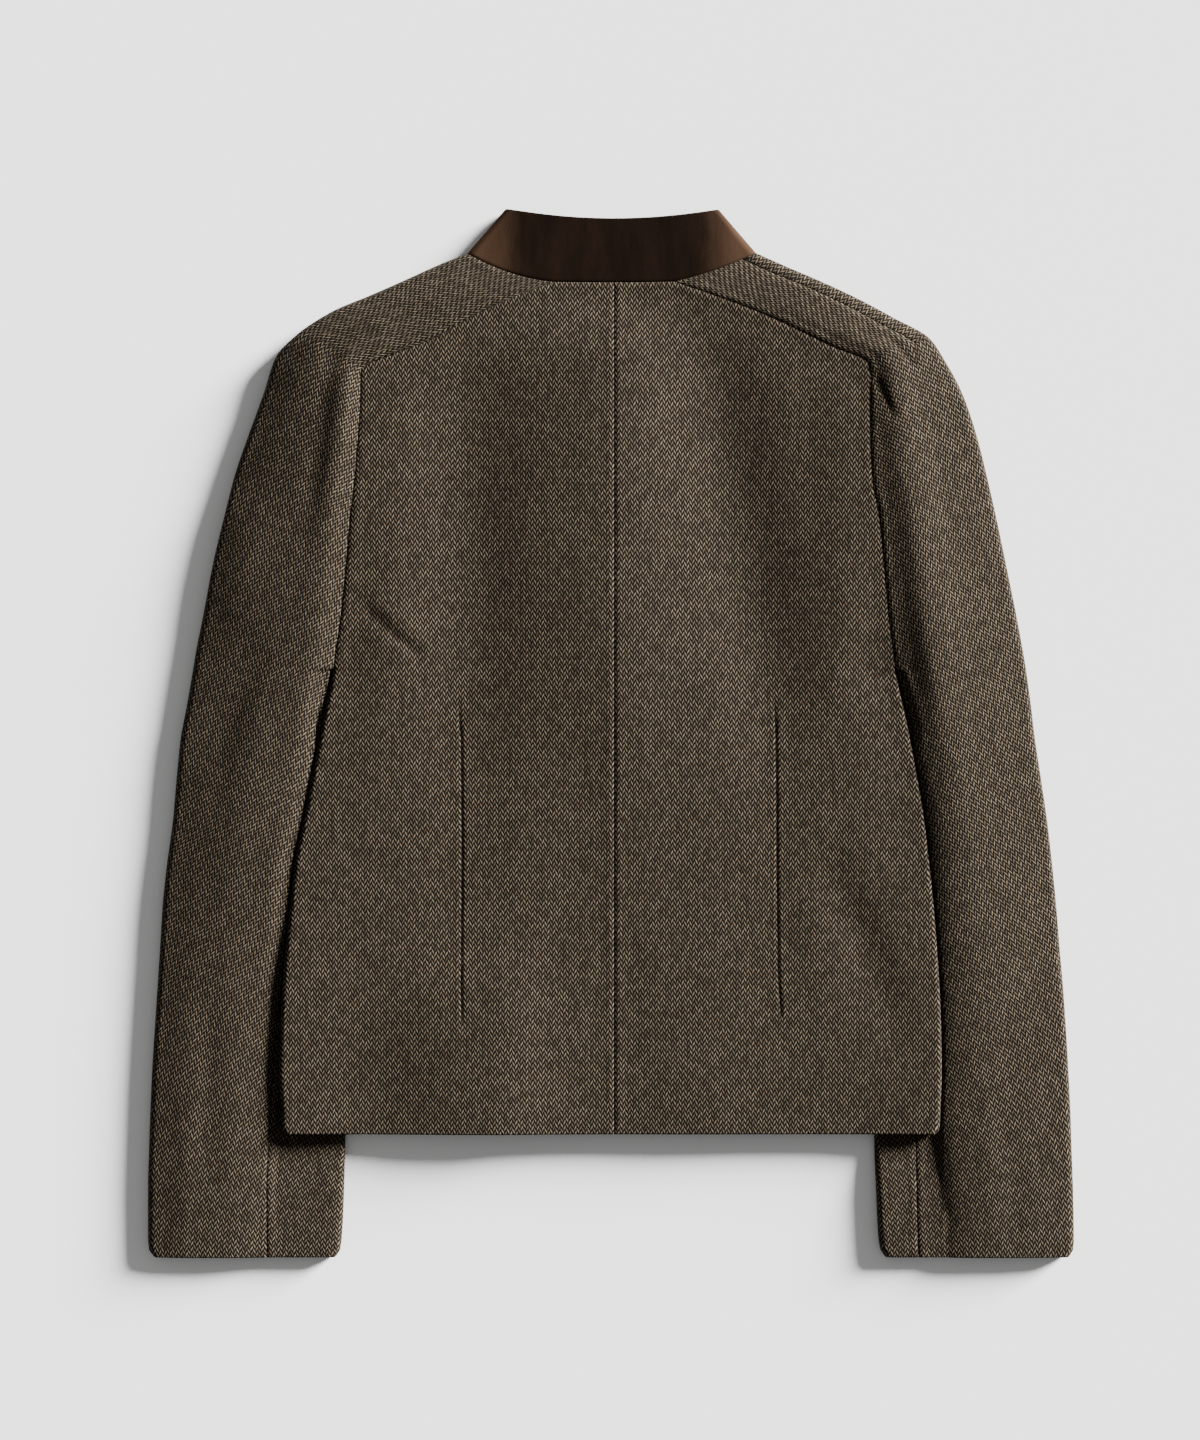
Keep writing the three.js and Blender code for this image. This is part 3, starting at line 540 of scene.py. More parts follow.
def frontGrids(rows, sleeve, cut):
    sign, corner = rows["sign"], rows["corner"]
    band = sleeve[:corner + 1, cut:]
    top = band[:, -1]
    columns = len(top) - 1
    flat = columns - bodyRoll["steps"]
    inner = np.array([[abs(top[0, 0]), top[0, 1]]] + neckline + [[0, y] for y in centreFrontY])
    evenTop = np.arange(columns + 1) / columns
    main = [top]
    at = rows["at"][corner + 1:]
    rollWidth = bodyRoll["width"] * sideLayers[0][2]
    for j, t in enumerate(at):
        outer = sleeve[corner + 1 + j, -1]
        k = t - cornerRow
        i = min(int(k), len(inner) - 2)
        innerX, innerY = mix(inner[i], inner[i + 1], k - i)
        settle = (t - cornerRow) / (lastShoulderRow - cornerRow)
        width = rows["shoulder"][corner + 1 + j][0]
        even = np.arange(flat + 1) / flat * (1 - rollWidth / width)
        low = np.concatenate([even, rollShares(rollWidth, width)])
        s = mix(evenTop, low, settle)
        lowerZ = rows["heights"][corner + 1 + j][5]
        z = mix(cloth["groundZ"], lowerZ, smooth((s - frontRows["dipFrom"]) / frontRows["dipOver"]))
        line = np.stack([mix(sign * innerX, outer[0], s), mix(innerY, outer[1], s), z], axis=1)
        line[-1] = outer
        main.append(line)
    side, layers, tops = rows["body"]
    inset = np.array(hemInset)
    slope = tuckUnder["slope"]
    body = []
    for y, row, layer in zip(rows["bodyY"], side, layers):
        bodyX = row[0] - through(inset[:, 0], inset[:, 1], [y])[0]
        centre, rollX, rollZ = sideRoll(bodyX, layer, False)
        levelFrom = min(row[1], row[0]) - tuckUnder["clearOfFold"]
        slopeFrom = levelFrom - slope
        step = np.arange(flat + 1) / flat
        levelTo, slopeTo = frontRows["levelTo"], frontRows["slopeTo"]
        onSlope = mix(slopeFrom, levelFrom, (step - levelTo) / frontRows["slopeOver"])
        s = np.where(step < levelTo, slopeFrom * step / levelTo, onSlope)
        s = np.where(step > slopeTo, mix(levelFrom, centre, (step - slopeTo) / frontRows["sideOver"]), s)
        z = mix(cloth["groundZ"], layer[0] - layer[1], smooth((s - slopeFrom) / slope))
        line = np.concatenate([s, rollX[1:]])
        body.append(np.stack([sign * line, np.full(len(line), y), np.concatenate([z, rollZ[1:]])], axis=1))
    return band, np.array(main + bridged(main[-1], body[0]) + body)


def collarGrid(rows, back, sleeve, front):
    neckColumns = len(back[0]) - 1 - rows["corner"]
    nape = back[0, :neckColumns]
    side = sleeve[0]
    corner = rows["corner"]
    steps = rows["at"][corner + 1:] - cornerRow
    below = [point for point, k in zip(front[1:, 0], steps) if k < collar["rowsBelow"]]
    base = np.vstack([nape, side, below])
    x = base[:, 0] * collar["topRatio"]
    y = collar["topY"] + collar["topRise"] * (x / collar["topX"]) ** 2
    z = cloth["groundZ"] + (base[:, 2] - cloth["groundZ"]) * collar["flatten"]
    beneath = np.arange(len(base)) - (len(base) - len(below))
    share = np.clip((beneath + 1) / len(below), 0, 1)
    y = np.where(share > 0, np.minimum(y, mix(y, base[:, 1] + collar["endRise"], np.sqrt(share))), y)
    z = np.where(share > 0, cloth["groundZ"], z)
    tops = np.stack([x, y, z], axis=1)
    steps = besideSeams(0, collar["height"], collar["rows"]) / collar["height"]
    return np.array([mix(base, tops, t) for t in steps])


# the grain of the cloth, as a map in metres
def runOf(grid, axis, parts):
    # distance run along rows or columns, over the chosen coordinates
    steps = np.diff(grid, axis=axis)[..., parts]
    length = np.sqrt((steps ** 2).sum(axis=-1))
    shape = list(length.shape)
    shape[axis] = 1
    return np.concatenate([np.zeros(shape), np.cumsum(length, axis=axis)], axis=axis)


def bodyGrain(grid, sign):
    across = runOf(grid, 1, [0, 2]) + np.abs(grid[:, :1, 0])
    return np.stack([sign * across, grid[..., 1]], axis=-1) * mm


def bandGrain(band, sign, edgeColumn):
    # the front lies flat beneath and turns over about the shoulder's edge onto the top
    plan = band[..., :2] * [sign, 1]
    first, last = plan[0, edgeColumn], plan[-1, edgeColumn]
    along = (last - first) / np.linalg.norm(last - first)
    offset = plan - first
    turned = first + 2 * (offset @ along)[..., None] * along - offset
    onTop = (np.arange(band.shape[1]) < edgeColumn)[None, :, None]
    return np.where(onTop, turned, plan) * [sign, 1] * mm


# how far the grain leans outwards from the sleeve's own sections, in degrees, at rows of the sleeve
sleeveGrain = {"y": [600, 560, 500, 440, 200, 60, -20, -86], "lean": [0, 4, 12, 18, 20, 16, 8, 4]}


def sleeveGrainMap(grid, sign):
    across = runOf(grid, 1, [0, 1, 2])
    middle = grid.shape[1] // 4
    down = runOf(grid[:, middle:middle + 1], 0, [0, 1, 2])[:, 0]
    lean = np.radians(through(sleeveGrain["y"], sleeveGrain["lean"], grid[:, middle, 1]))[:, None]
    steps = np.diff(down)[:, None]
    drift = np.concatenate([[[0]], np.cumsum(np.sin(lean[1:]) * steps, axis=0)])
    fall = np.concatenate([[[0]], np.cumsum(np.cos(lean[1:]) * steps, axis=0)])
    offset = across - across[:, middle:middle + 1]
    return np.stack([sign * (offset * np.cos(lean) - drift), -(fall + offset * np.sin(lean))], axis=-1) * mm


def underGrainMap(grid, topGrid, topMap):
    # carries the sleeve's own map on over the elbow seam, inwards and round the fold
    step = topMap[:, 3] - topMap[:, 0]
    reach = runOf(topGrid, 1, [0, 1, 2])[:, 3:4] * mm
    across = runOf(grid, 1, [0, 1, 2])[..., None] * mm
    return topMap[:, :1] - across * (step / np.maximum(reach, 1e-6))[:, None]


def plainMap(grid):
    return np.stack([runOf(grid, 1, [0, 1, 2]), runOf(grid, 0, [0, 1, 2])], axis=-1) * mm


# walls of cloth
def quadsOf(grid, mask=None, flip=False):
    rows, columns = grid.shape[:2]
    index = np.arange(rows * columns).reshape(rows, columns)
    quads = np.stack([index[:-1, :-1], index[1:, :-1], index[1:, 1:], index[:-1, 1:]], axis=-1)
    quads = quads[mask] if mask is not None else quads.reshape(-1, 4)
    return quads[:, ::-1] if flip else quads


def sheetOf(name, kind, *layers):
    # layers are (grid, map, mask, flip); the points of all of them make one sheet
    points, maps, quads, start = [], [], [], 0
    for grid, grain, mask, flip in layers:
        points.append(grid.reshape(-1, 3))
        maps.append(grain.reshape(-1, 2))
        quads.append(quadsOf(grid, mask, flip) + start)
        start += grid.shape[0] * grid.shape[1]
    return {
        "name": name, "kind": kind,
        "points": np.vstack(points), "map": np.vstack(maps), "quads": np.vstack(quads),
    }


def faceNormals(points, quads):
    a, b, c, d = (points[quads[:, i]] for i in range(4))
    return np.cross(c - a, d - b)


def weld(sheets):
    # one number for each place, shared by all the sheets that meet there
    points = np.vstack([sheet["points"] for sheet in sheets])
    places, inverse = np.unique(np.round(points, 2), axis=0, return_inverse=True)
    start = 0
    for sheet in sheets:
        count = len(sheet["points"])
        sheet["place"] = inverse[start:start + count].reshape(-1)
        start += count
    return len(places)


def shareOut(sheets, placeCount, values, average=True):
    total = np.zeros((placeCount, values[0].shape[1]))
    count = np.zeros(placeCount)
    for sheet, value in zip(sheets, values):
        np.add.at(total, sheet["place"], value)
        np.add.at(count, sheet["place"], 1)
    if average:
        total /= np.maximum(count, 1)[:, None]
    return [total[sheet["place"]] for sheet in sheets]


def normalsOf(sheets, placeCount):
    values = []
    for sheet in sheets:
        normal = np.zeros_like(sheet["points"])
        for corner in range(4):
            np.add.at(normal, sheet["quads"][:, corner], faceNormals(sheet["points"], sheet["quads"]))
        values.append(normal)
    shared = shareOut(sheets, placeCount, values, average=False)
    return [normal / np.maximum(np.linalg.norm(normal, axis=1, keepdims=True), 1e-9) for normal in shared]


def borderOf(quads, place):
    # edges of one face only, with the cloth on their left
    a = place[quads].reshape(-1)
    b = place[np.roll(quads, -1, axis=1)].reshape(-1)
    seen = set(zip(a.tolist(), b.tolist()))
    return [(i, j) for i, j in seen if (j, i) not in seen and i != j]


def wallOf(sheet, normals, openPlaces):
    # border points move in by half the gap, then a face is laid half the cloth out and one half in
    corners = sheet["quads"].reshape(-1)
    used, first, corner = np.unique(sheet["place"][corners], return_index=True, return_inverse=True)
    source = corners[first]
    points = sheet["points"][source].copy()
    normal = normals[source]
    quads = corner.reshape(-1, 4)
    local = {place: i for i, place in enumerate(used.tolist())}
    border = [(local[i], local[j]) for i, j in borderOf(sheet["quads"], sheet["place"])]
    inward = {}
    for i, j in border:
        along = points[j] - points[i]
        along /= max(np.linalg.norm(along), 1e-9)
        for k in (i, j):
            across = np.cross(normal[k], along)
            inward.setdefault(k, []).append(across / max(np.linalg.norm(across), 1e-9))
    moved = points.copy()
    away = {}
    for k, ways in inward.items():
        a, b = ways[0], ways[-1]
        spread = max(0.5, 1 + float(a @ b))
        moved[k] += (a + b) * (cloth["seamGap"] / 2 / spread)
        away[k] = -(a + b) / max(np.linalg.norm(a + b), 1e-9)
    half = cloth["thickness"] / 2
    outer, inner = moved + normal * half, moved - normal * half
    count = len(moved)
    vertices = [outer, inner]
    faces = [quads.tolist(), (quads[:, ::-1] + count).tolist()]
    # the rim is a soft round on folded edges, and flat where two pieces are sewn
    rim = {}
    extra, start = [], 2 * count
    for k in inward:
        bulge = cloth["hemRound"] if used[k] in openPlaces else cloth["sewnRound"]
        ids = []
        for step in (1, 2, 3):
            turn = np.pi * step / 4
            extra.append(moved[k] + normal[k] * half * math.cos(turn) + away[k] * bulge * math.sin(turn))
            ids.append(start + len(extra) - 1)
        rim[k] = [k] + ids + [k + count]
    rimFaces = []
    for i, j in border:
        for step in range(4):
            rimFaces.append([rim[j][step], rim[i][step], rim[i][step + 1], rim[j][step + 1]])
    vertices.append(np.array(extra))
    # the map of each corner, for the outer and inner face and the rim
    corners = sheet["map"][sheet["quads"].reshape(-1)].reshape(-1, 4, 2)
    at = np.zeros((count, 2))
    at[quads.reshape(-1)] = corners.reshape(-1, 2)
    rimMap = np.array([[at[j], at[i], at[i], at[j]] for i, j in border for step in range(4)])
    maps = np.vstack([corners, corners[:, ::-1], rimMap.reshape(-1, 4, 2)])
    return np.vstack(vertices), faces[0] + faces[1] + rimFaces, maps


def pieceOf(name, vertices, faces, maps):
    mesh = bpy.data.meshes.new(name)
    mesh.from_pydata(((vertices + placeOfPlan) * mm).tolist(), [], faces)
    layer = mesh.uv_layers.new(name="grain")
    layer.data.foreach_set("uv", maps.reshape(-1).astype(np.float32))
    mesh.polygons.foreach_set("use_smooth", [True] * len(mesh.polygons))
    mesh.update()
    piece = bpy.data.objects.new(name, mesh)
    bpy.context.scene.collection.objects.link(piece)
    return piece


# seams, darts and creases pressed into the sheets
seams = {
    "groove": {"depth": 0.55, "width": 0.85},
    "lip": {"height": 0.25, "at": 3.4, "width": 1.6},
    "dart": {"depth": 0.8, "width": 0.9, "lip": 0.15, "lipAt": 2.6, "lipWidth": 1.6},
    "dartEnds": {"low": 70, "lowFade": 20, "high": 308, "highFade": 24},
}


def distanceTo(points, line):
    tree = kdtree.KDTree(len(line))
    for i, point in enumerate(line):
        tree.insert(Vector(point), i)
    tree.balance()
    return np.array([tree.find(Vector(point))[2] for point in points])


def denseLine(points, step=0.4):
    points = np.asarray(points, float)
    run = np.concatenate([[0], np.cumsum(np.linalg.norm(np.diff(points, axis=0), axis=1))])
    at = np.arange(0, run[-1] + step, step)
    return np.stack([np.interp(at, run, points[:, i]) for i in range(points.shape[1])], axis=1)


def pressed(sheets, placeCount, seamLines):
    normals = normalsOf(sheets, placeCount)
    lines = np.vstack([denseLine(line) for line in seamLines])
    moves = []
    for sheet, normal in zip(sheets, normals):
        points = sheet["points"]
        x, y = points[:, 0], points[:, 1]
        up = smooth((normal[:, 2] - 0.25) / 0.5)
        down = smooth((-normal[:, 2] - 0.7) / 0.25)
        move = np.zeros(len(points))
        if sheet["kind"] in creases:
            move += up * foldSum(creases[sheet["kind"]], x, y)
        move -= down * np.abs(foldSum(creases["under"], x, y)) * smooth((points[:, 2] - 0.9) / 0.2)
        distance = distanceTo(points, lines)
        groove, lip = seams["groove"], seams["lip"]
        onSides = np.maximum(up, 0.25 * (1 - down))  # the groove is shallow round the edges, none beneath
        move -= groove["depth"] * np.exp(-((distance / groove["width"]) ** 2)) * onSides
        if sheet["kind"] != "collar":
            move += up * lip["height"] * np.exp(-(((distance - lip["at"]) / lip["width"]) ** 2))
        if sheet["kind"] == "back":
            side = "left" if sheet["name"].endswith("left") else "right"
            line = np.array(darts[side])
            dart = denseLine(np.stack([line[:, 1], line[:, 0]], axis=1))
            flat = distanceTo(np.stack([x, y, 0 * x], axis=1), np.column_stack([dart, np.zeros(len(dart))]))
            ends, cut = seams["dartEnds"], seams["dart"]
            fade = smooth((y - ends["low"]) / ends["lowFade"]) * smooth((ends["high"] - y) / ends["highFade"])
            move -= fade * cut["depth"] * np.exp(-((flat / cut["width"]) ** 2))
            move += fade * cut["lip"] * np.exp(-(((flat - cut["lipAt"]) / cut["lipWidth"]) ** 2))
        moves.append(normal * move[:, None])
    shared = shareOut(sheets, placeCount, moves)
    for sheet, move in zip(sheets, shared):
        sheet["points"] = sheet["points"] + move


# cut the pieces
print("drawing the panels")
sheets, collarLayers, seamLines, openLines = [], [], [], []
elbowSeamFrom = 18  # rows under the armhole before the elbow seam's groove starts
for side in ("left", "right"):
    rows = sideRows(side)
    left = side == "left"
    sign = rows["sign"]
    sleeve = sleeveGrid(rows)
    under = underGrid(rows)
    shoulderRows = len(sleeve) - len(under)
    under[:, 0] = sleeve[shoulderRows:, 0]
    under[:, -1] = sleeve[shoulderRows:, -1]
    back = backGrid(rows, sleeve)
    cut = columnsToEdge if left else columnsToSeam
    band, front = frontGrids(rows, sleeve, cut)
    collarPoints = collarGrid(rows, back, sleeve, front)
    front[-len(rows["bodyY"]):, -1] = back[-len(rows["bodyY"]):, -1]
    mask = np.ones((len(sleeve) - 1, sleeve.shape[1] - 1), bool)
    mask[:rows["corner"], cut:] = False
    sleeveMap = sleeveGrainMap(sleeve, sign)
    underMap = underGrainMap(under, sleeve[shoulderRows:], sleeveMap[shoulderRows:])
    bandMap = bandGrain(band, sign, columnsToEdge - cut)
    frontLayers = (band, bandMap, None, left), (front, bodyGrain(front, sign), None, not left)
    sheets += [
        sheetOf(f"back_{side}", "back", (back, bodyGrain(back, sign), None, left)),
        sheetOf(f"front_{side}", "front", *frontLayers),
        sheetOf(f"sleeve_top_{side}", "sleeve", (sleeve, sleeveMap, mask, left)),
        sheetOf(f"sleeve_under_{side}", "under", (under, underMap, None, not left)),
    ]
    collarLayers.append((collarPoints, plainMap(collarPoints) * [sign, 1], None, not left))
    seamLines += [
        back[:, 0], back[0], sleeve[:shoulderRows, 0], back[-len(rows["bodyY"]):, -1],
        sleeve[:rows["corner"] + 1, cut], sleeve[0],
        sleeve[shoulderRows + elbowSeamFrom:, 0], sleeve[shoulderRows:, -1]]
    openLines += [back[-1], front[-1], sleeve[-1], under[-1], collarPoints[-1]]
sheets.append(sheetOf("collar", "collar", *collarLayers))
placeCount = weld(sheets)
openPoints = {tuple(point) for line in openLines for point in np.round(line, 2).tolist()}
openPlaces = set()
for sheet in sheets:
    for point, place in zip(np.round(sheet["points"], 2).tolist(), sheet["place"].tolist()):
        if tuple(point) in openPoints:
            openPlaces.add(place)
print("pressing seams, darts and creases")
pressed(sheets, placeCount, seamLines)
normals = normalsOf(sheets, placeCount)
print("giving the cloth its thickness")
pieces = {}
for sheet, normal in zip(sheets, normals):
    pieces[sheet["name"]] = pieceOf(f"{sheet['name']}_cloth", *wallOf(sheet, normal, openPlaces))


# finishes
def socketOf(group, name, way, kind="NodeSocketFloat", value=None):
    socket = group.interface.new_socket(name=name, in_out=way, socket_type=kind)
    if value is not None:
        socket.default_value = value
    return socket


def joined(tree, kind, inputs=None, **settings):
    node = tree.nodes.new(kind)
    for key, value in settings.items():
        setattr(node, key, value)
    for key, value in (inputs or {}).items():
        socket = node.inputs[key]
        if isinstance(value, bpy.types.NodeSocket):
            tree.links.new(value, socket)
        else:
            socket.default_value = value
    return node


def maths(tree, operation, a, b=0.0, c=0.0, clamp=False):
    return joined(tree, "ShaderNodeMath", {0: a, 1: b, 2: c}, operation=operation, use_clamp=clamp).outputs[0]


def noise(tree, place, scale, detail, roughness=0.5):
    settings = {"Vector": place, "Scale": scale, "Detail": detail, "Roughness": roughness}
    return joined(tree, "ShaderNodeTexNoise", settings).outputs


def vector(tree, operation, a, b):
    second = "Scale" if operation == "SCALE" else 1
    return joined(tree, "ShaderNodeVectorMath", {0: a, second: b}, operation=operation).outputs[0]


weave = {
    "columnWidth": 0.00187,  # one chevron column
    "repeat": 0.0039,  # from one stroke to the next along the grain
    "rise": 0.74,  # how far a stroke climbs across its column, in repeats
    "strokeShare": 0.41,  # share of a repeat that the light yarn shows
    "wander": 0.00030,  # how unevenly the yarns lie
    "bump": 0.00028,
    "paintedLeanLight": 0.35,  # how much lighter every other column is: painted light on the strokes that lean towards the lamp
    "sway": 0.0012,  # how far whole areas of the weave drift
}


def herringboneGroup():
    group = bpy.data.node_groups.new("herringboneWeave", "ShaderNodeTree")
    socketOf(group, "Grain", "INPUT", "NodeSocketVector")
    socketOf(group, "Column Width", "INPUT", value=weave["columnWidth"])
    socketOf(group, "Repeat", "INPUT", value=weave["repeat"])
    socketOf(group, "Rise", "INPUT", value=weave["rise"])
    socketOf(group, "Stroke Share", "INPUT", value=weave["strokeShare"])
    socketOf(group, "Wander", "INPUT", value=weave["wander"])
    socketOf(group, "Stroke", "OUTPUT")
    socketOf(group, "Stroke Tone And Painted Light", "OUTPUT")
    socketOf(group, "Height", "OUTPUT")
    source = group.nodes.new("NodeGroupInput").outputs
    wobble = noise(group, source["Grain"], 260.0, 1.0)
    offset = vector(group, "SUBTRACT", wobble["Color"], (0.5, 0.5, 0.5))
    offset = vector(group, "SCALE", offset, source["Wander"])
    wide = noise(group, source["Grain"], 28.0, 0.0)
    sway = vector(group, "SUBTRACT", wide["Color"], (0.5, 0.5, 0.5))
    sway = vector(group, "SCALE", sway, weave["sway"])
    moved = vector(group, "ADD", vector(group, "ADD", source["Grain"], offset), sway)
    parts = joined(group, "ShaderNodeSeparateXYZ", {0: moved}).outputs
    across = maths(group, "DIVIDE", parts[0], source["Column Width"])
    column = maths(group, "FLOOR", across)
    inColumn = maths(group, "FRACT", across)
    parity = maths(group, "FLOORED_MODULO", column, 2.0)
    lean = maths(group, "MULTIPLY_ADD", parity, -2.0, 1.0)
    centred = maths(group, "SUBTRACT", inColumn, 0.5)
    climb = maths(group, "MULTIPLY", maths(group, "MULTIPLY", centred, lean), source["Rise"])
    along = maths(group, "DIVIDE", parts[1], source["Repeat"])
    phase = maths(group, "ADD", maths(group, "ADD", along, climb), maths(group, "MULTIPLY", parity, 0.5))
    rank = maths(group, "FLOOR", phase)
    inRepeat = maths(group, "FRACT", phase)
    fromMiddle = maths(group, "ABSOLUTE", maths(group, "SUBTRACT", inRepeat, 0.5))
    halfShare = maths(group, "MULTIPLY", source["Stroke Share"], 0.5)
    body = maths(group, "SUBTRACT", halfShare, fromMiddle)
    stroke = maths(group, "MULTIPLY_ADD", body, 6.0, 0.5, clamp=True)
    edge = maths(group, "POWER", maths(group, "ABSOLUTE", maths(group, "MULTIPLY", centred, 2.0)), 3.0)
    roundness = maths(group, "MULTIPLY_ADD", edge, -0.85, 1.0)
    key = joined(group, "ShaderNodeCombineXYZ", {0: column, 1: rank, 2: 0.0}).outputs[0]
    chance = joined(group, "ShaderNodeTexWhiteNoise", {"Vector": key}, noise_dimensions="3D").outputs["Value"]
    out = group.nodes.new("NodeGroupOutput").inputs
    group.links.new(maths(group, "MULTIPLY", stroke, roundness), out["Stroke"])
    # painted light: every other column of strokes is lighter, as if lit along its lean
    paintedLeanLight = maths(group, "MULTIPLY_ADD", parity, weave["paintedLeanLight"], 1.0 - weave["paintedLeanLight"] / 2)
    group.links.new(maths(group, "MULTIPLY", chance, paintedLeanLight), out["Stroke Tone And Painted Light"])
    group.links.new(maths(group, "MULTIPLY", stroke, roundness), out["Height"])
    return group


def plainCloth(name, look):
    # its sheen and gloss are the same all over
    material = bpy.data.materials.new(name)
    material.use_nodes = True
    shader = material.node_tree.nodes["Principled BSDF"]
    shader.inputs["Sheen Weight"].default_value = look["sheen"]
    shader.inputs["Sheen Roughness"].default_value = look["sheenRoughness"]
    shader.inputs["Sheen Tint"].default_value = look["sheenTint"]
    shader.inputs["Specular IOR Level"].default_value = look["specular"]
    return material, material.node_tree, shader


tweed = {
    "darkYarn": (0.0030, 0.0021, 0.0014, 1),
    "lightYarn": (0.064, 0.050, 0.034, 1),
    "brown": (0.055, 0.038, 0.024, 1),
    "olive": (0.049, 0.043, 0.026, 1),
    "mauve": (0.049, 0.040, 0.034, 1),
    "roughness": 0.92,
    "sheen": 0.02,
    "sheenRoughness": 0.5,
    "sheenTint": (0.75, 0.70, 0.62, 1),
    "specular": 0.04,
}


def tweedMaterial(name, group):
    material, tree, shader = plainCloth(name, tweed)
    grain = joined(tree, "ShaderNodeUVMap", uv_map="grain").outputs[0]
    cell = joined(tree, "ShaderNodeGroup", {}, node_tree=group)
    tree.links.new(grain, cell.inputs["Grain"])
    for key in ("Column Width", "Repeat", "Rise", "Stroke Share", "Wander"):
        cell.inputs[key].default_value = group.interface.items_tree[key].default_value
    patches = noise(tree, grain, 150.0, 2.0, 0.7)
    hue = joined(tree, "ShaderNodeValToRGB", {0: patches["Fac"]})
    ramp = hue.color_ramp
    ramp.elements[0].position, ramp.elements[0].color = 0.30, tweed["olive"]
    ramp.elements[1].position, ramp.elements[1].color = 0.74, tweed["mauve"]
    for position, colour in ((0.42, "lightYarn"), (0.56, "lightYarn"), (0.64, "brown")):
        stop = ramp.elements.new(position)
        stop.color = tweed[colour]
    # each stroke's own random tone, times the painted light that makes every other column lighter
    bright = maths(tree, "MULTIPLY_ADD", cell.outputs["Stroke Tone And Painted Light"], 0.95, 0.65)
    light = vector(tree, "SCALE", hue.outputs["Color"], bright)
    wide = noise(tree, grain, 16.0, 3.0, 0.6)
    level = maths(tree, "MULTIPLY_ADD", wide["Fac"], 0.3, 0.85)
    # a colour Mix is filled by place, because the names of its sockets repeat
    blend = joined(
        tree, "ShaderNodeMix", {0: cell.outputs["Stroke"], 6: tweed["darkYarn"], 7: light}, data_type="RGBA")
    colour = vector(tree, "SCALE", blend.outputs[2], level)
    tree.links.new(colour, shader.inputs["Base Color"])
    fibre = noise(tree, grain, 1500.0, 2.0)
    height = maths(tree, "MULTIPLY_ADD", fibre["Fac"], 0.35, cell.outputs["Height"])
    bump = joined(tree, "ShaderNodeBump", {"Height": height, "Strength": 1.0, "Distance": weave["bump"]})
    tree.links.new(bump.outputs["Normal"], shader.inputs["Normal"])
    rough = maths(tree, "MULTIPLY_ADD", cell.outputs["Stroke"], -0.06, tweed["roughness"])
    tree.links.new(rough, shader.inputs["Roughness"])
    return material


velvet = {
    "deep": (0.0024, 0.0009, 0.0003, 1),
    "lit": (0.0070, 0.0032, 0.0014, 1),
    "roughness": 0.8,
    "sheen": 0.10,
    "sheenRoughness": 0.35,
    "sheenTint": (0.50, 0.25, 0.12, 1),
    "specular": 0.03,
    "ends": (0.030, 0.016, 0.009, 1), "paintedSheenFrom": 0.072, "paintedSheenTo": 0.098,  # painted sheen: a lighter brown towards both ends of the collar, from and to these metres from the centre back
}


def velvetMaterial(name):
    material, tree, shader = plainCloth(name, velvet)
    grain = joined(tree, "ShaderNodeUVMap", uv_map="grain").outputs[0]
    stroked = joined(tree, "ShaderNodeMapping", {"Vector": grain, "Scale": (60.0, 14.0, 1.0)}).outputs[0]
    pile = noise(tree, stroked, 1.0, 4.0, 0.65)
    ramp = joined(tree, "ShaderNodeValToRGB", {0: pile["Fac"]})
    ramp.color_ramp.elements[0].position, ramp.color_ramp.elements[0].color = 0.35, velvet["deep"]
    ramp.color_ramp.elements[1].position, ramp.color_ramp.elements[1].color = 0.75, velvet["lit"]
    # painted sheen: the pile blends to a lighter brown towards both ends of the collar
    place = joined(tree, "ShaderNodeTexCoord").outputs["Object"]
    along = joined(tree, "ShaderNodeSeparateXYZ", {"Vector": place}).outputs["X"]
    wander = maths(tree, "MULTIPLY_ADD", pile["Fac"], 0.02, maths(tree, "ABSOLUTE", along))
    toPaintedSheen = joined(tree, "ShaderNodeMapRange", {
        "Value": wander, "From Min": velvet["paintedSheenFrom"], "From Max": velvet["paintedSheenTo"]}).outputs["Result"]
    blend = joined(
        tree, "ShaderNodeMix", {0: toPaintedSheen, 6: ramp.outputs["Color"], 7: velvet["ends"]}, data_type="RGBA")
    tree.links.new(blend.outputs[2], shader.inputs["Base Color"])
    nap = noise(tree, grain, 1400.0, 2.0)
    bump = joined(tree, "ShaderNodeBump", {"Height": nap["Fac"], "Strength": 0.6, "Distance": 0.0003})
    tree.links.new(bump.outputs["Normal"], shader.inputs["Normal"])
    shader.inputs["Roughness"].default_value = velvet["roughness"]
    return material


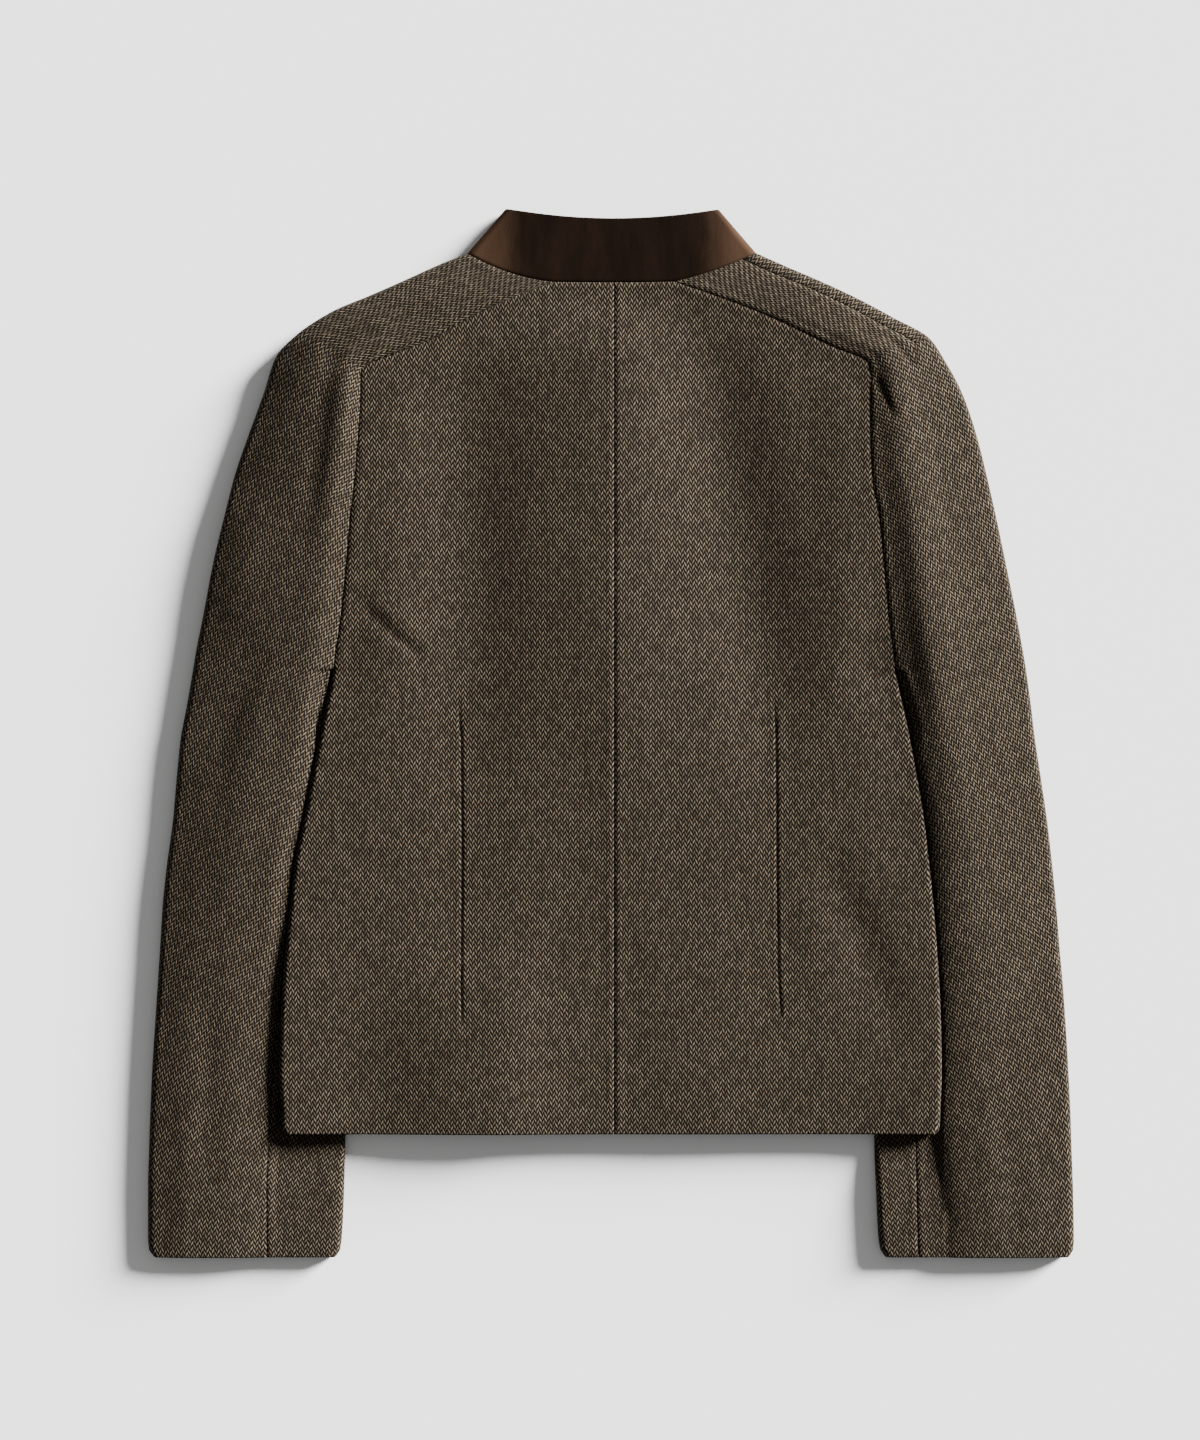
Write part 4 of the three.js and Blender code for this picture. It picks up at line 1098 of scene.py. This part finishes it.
print("dyeing and weaving the cloth")
herringbone = herringboneGroup()
tweedCloth = tweedMaterial("tweedCloth", herringbone)
velvetCloth = velvetMaterial("velvetCloth")
for name, piece in pieces.items():
    piece.data.materials.append(velvetCloth if name == "collar" else tweedCloth)

# each piece hangs from the root, and its own part from model.glb is hidden
for name, piece in pieces.items():
    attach(piece, "root")
    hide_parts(name)

# table top, light and camera
studio = {
    "floor": (0.85, 0.85, 0.845, 1), "floorSize": 8, "floorRoughness": 0.9,
    "sunHeight": 15.0,  # degrees over the table top
    "sunTowards": 32.0,  # degrees from the right towards the collar
    "sunSoftness": 20.0,
    "sunPower": 35.2,
    "world": 0.31,
}
bpy.ops.mesh.primitive_plane_add(size=studio["floorSize"], location=(0, 0, 0))
floor = bpy.context.object
floor.name = "table_top"
paper = bpy.data.materials.new("tableTop")
paper.use_nodes = True
paper.node_tree.nodes["Principled BSDF"].inputs["Base Color"].default_value = studio["floor"]
paper.node_tree.nodes["Principled BSDF"].inputs["Roughness"].default_value = studio["floorRoughness"]
floor.data.materials.append(paper)

sun = bpy.data.lights.new("softSun", "SUN")
sun.energy = studio["sunPower"]
sun.angle = math.radians(studio["sunSoftness"])
height, towards = math.radians(studio["sunHeight"]), math.radians(studio["sunTowards"])
level = math.cos(height)
comesFrom = Vector((level * math.cos(towards), level * math.sin(towards), math.sin(height)))
holder = bpy.data.objects.new("softSun", sun)
holder.location = comesFrom * 3
holder.rotation_euler = comesFrom.to_track_quat("Z", "Y").to_euler()
bpy.context.scene.collection.objects.link(holder)
world = bpy.data.worlds.new("room")
world.use_nodes = True
world.node_tree.nodes["Background"].inputs["Color"].default_value = (1, 1, 1, 1)
world.node_tree.nodes["Background"].inputs["Strength"].default_value = studio["world"]
bpy.context.scene.world = world

view = {"lens": 85, "sensor": 36, "frameTall": 1.008, "centre": (-0.0077, 0.0091)}
lens = bpy.data.cameras.new("camera")
lens.lens, lens.sensor_width = view["lens"], view["sensor"]
camera = bpy.data.objects.new("camera", lens)
camera.location = (*view["centre"], view["frameTall"] * view["lens"] / view["sensor"])
bpy.context.scene.collection.objects.link(camera)
bpy.context.scene.camera = camera

print("jacket laid out")
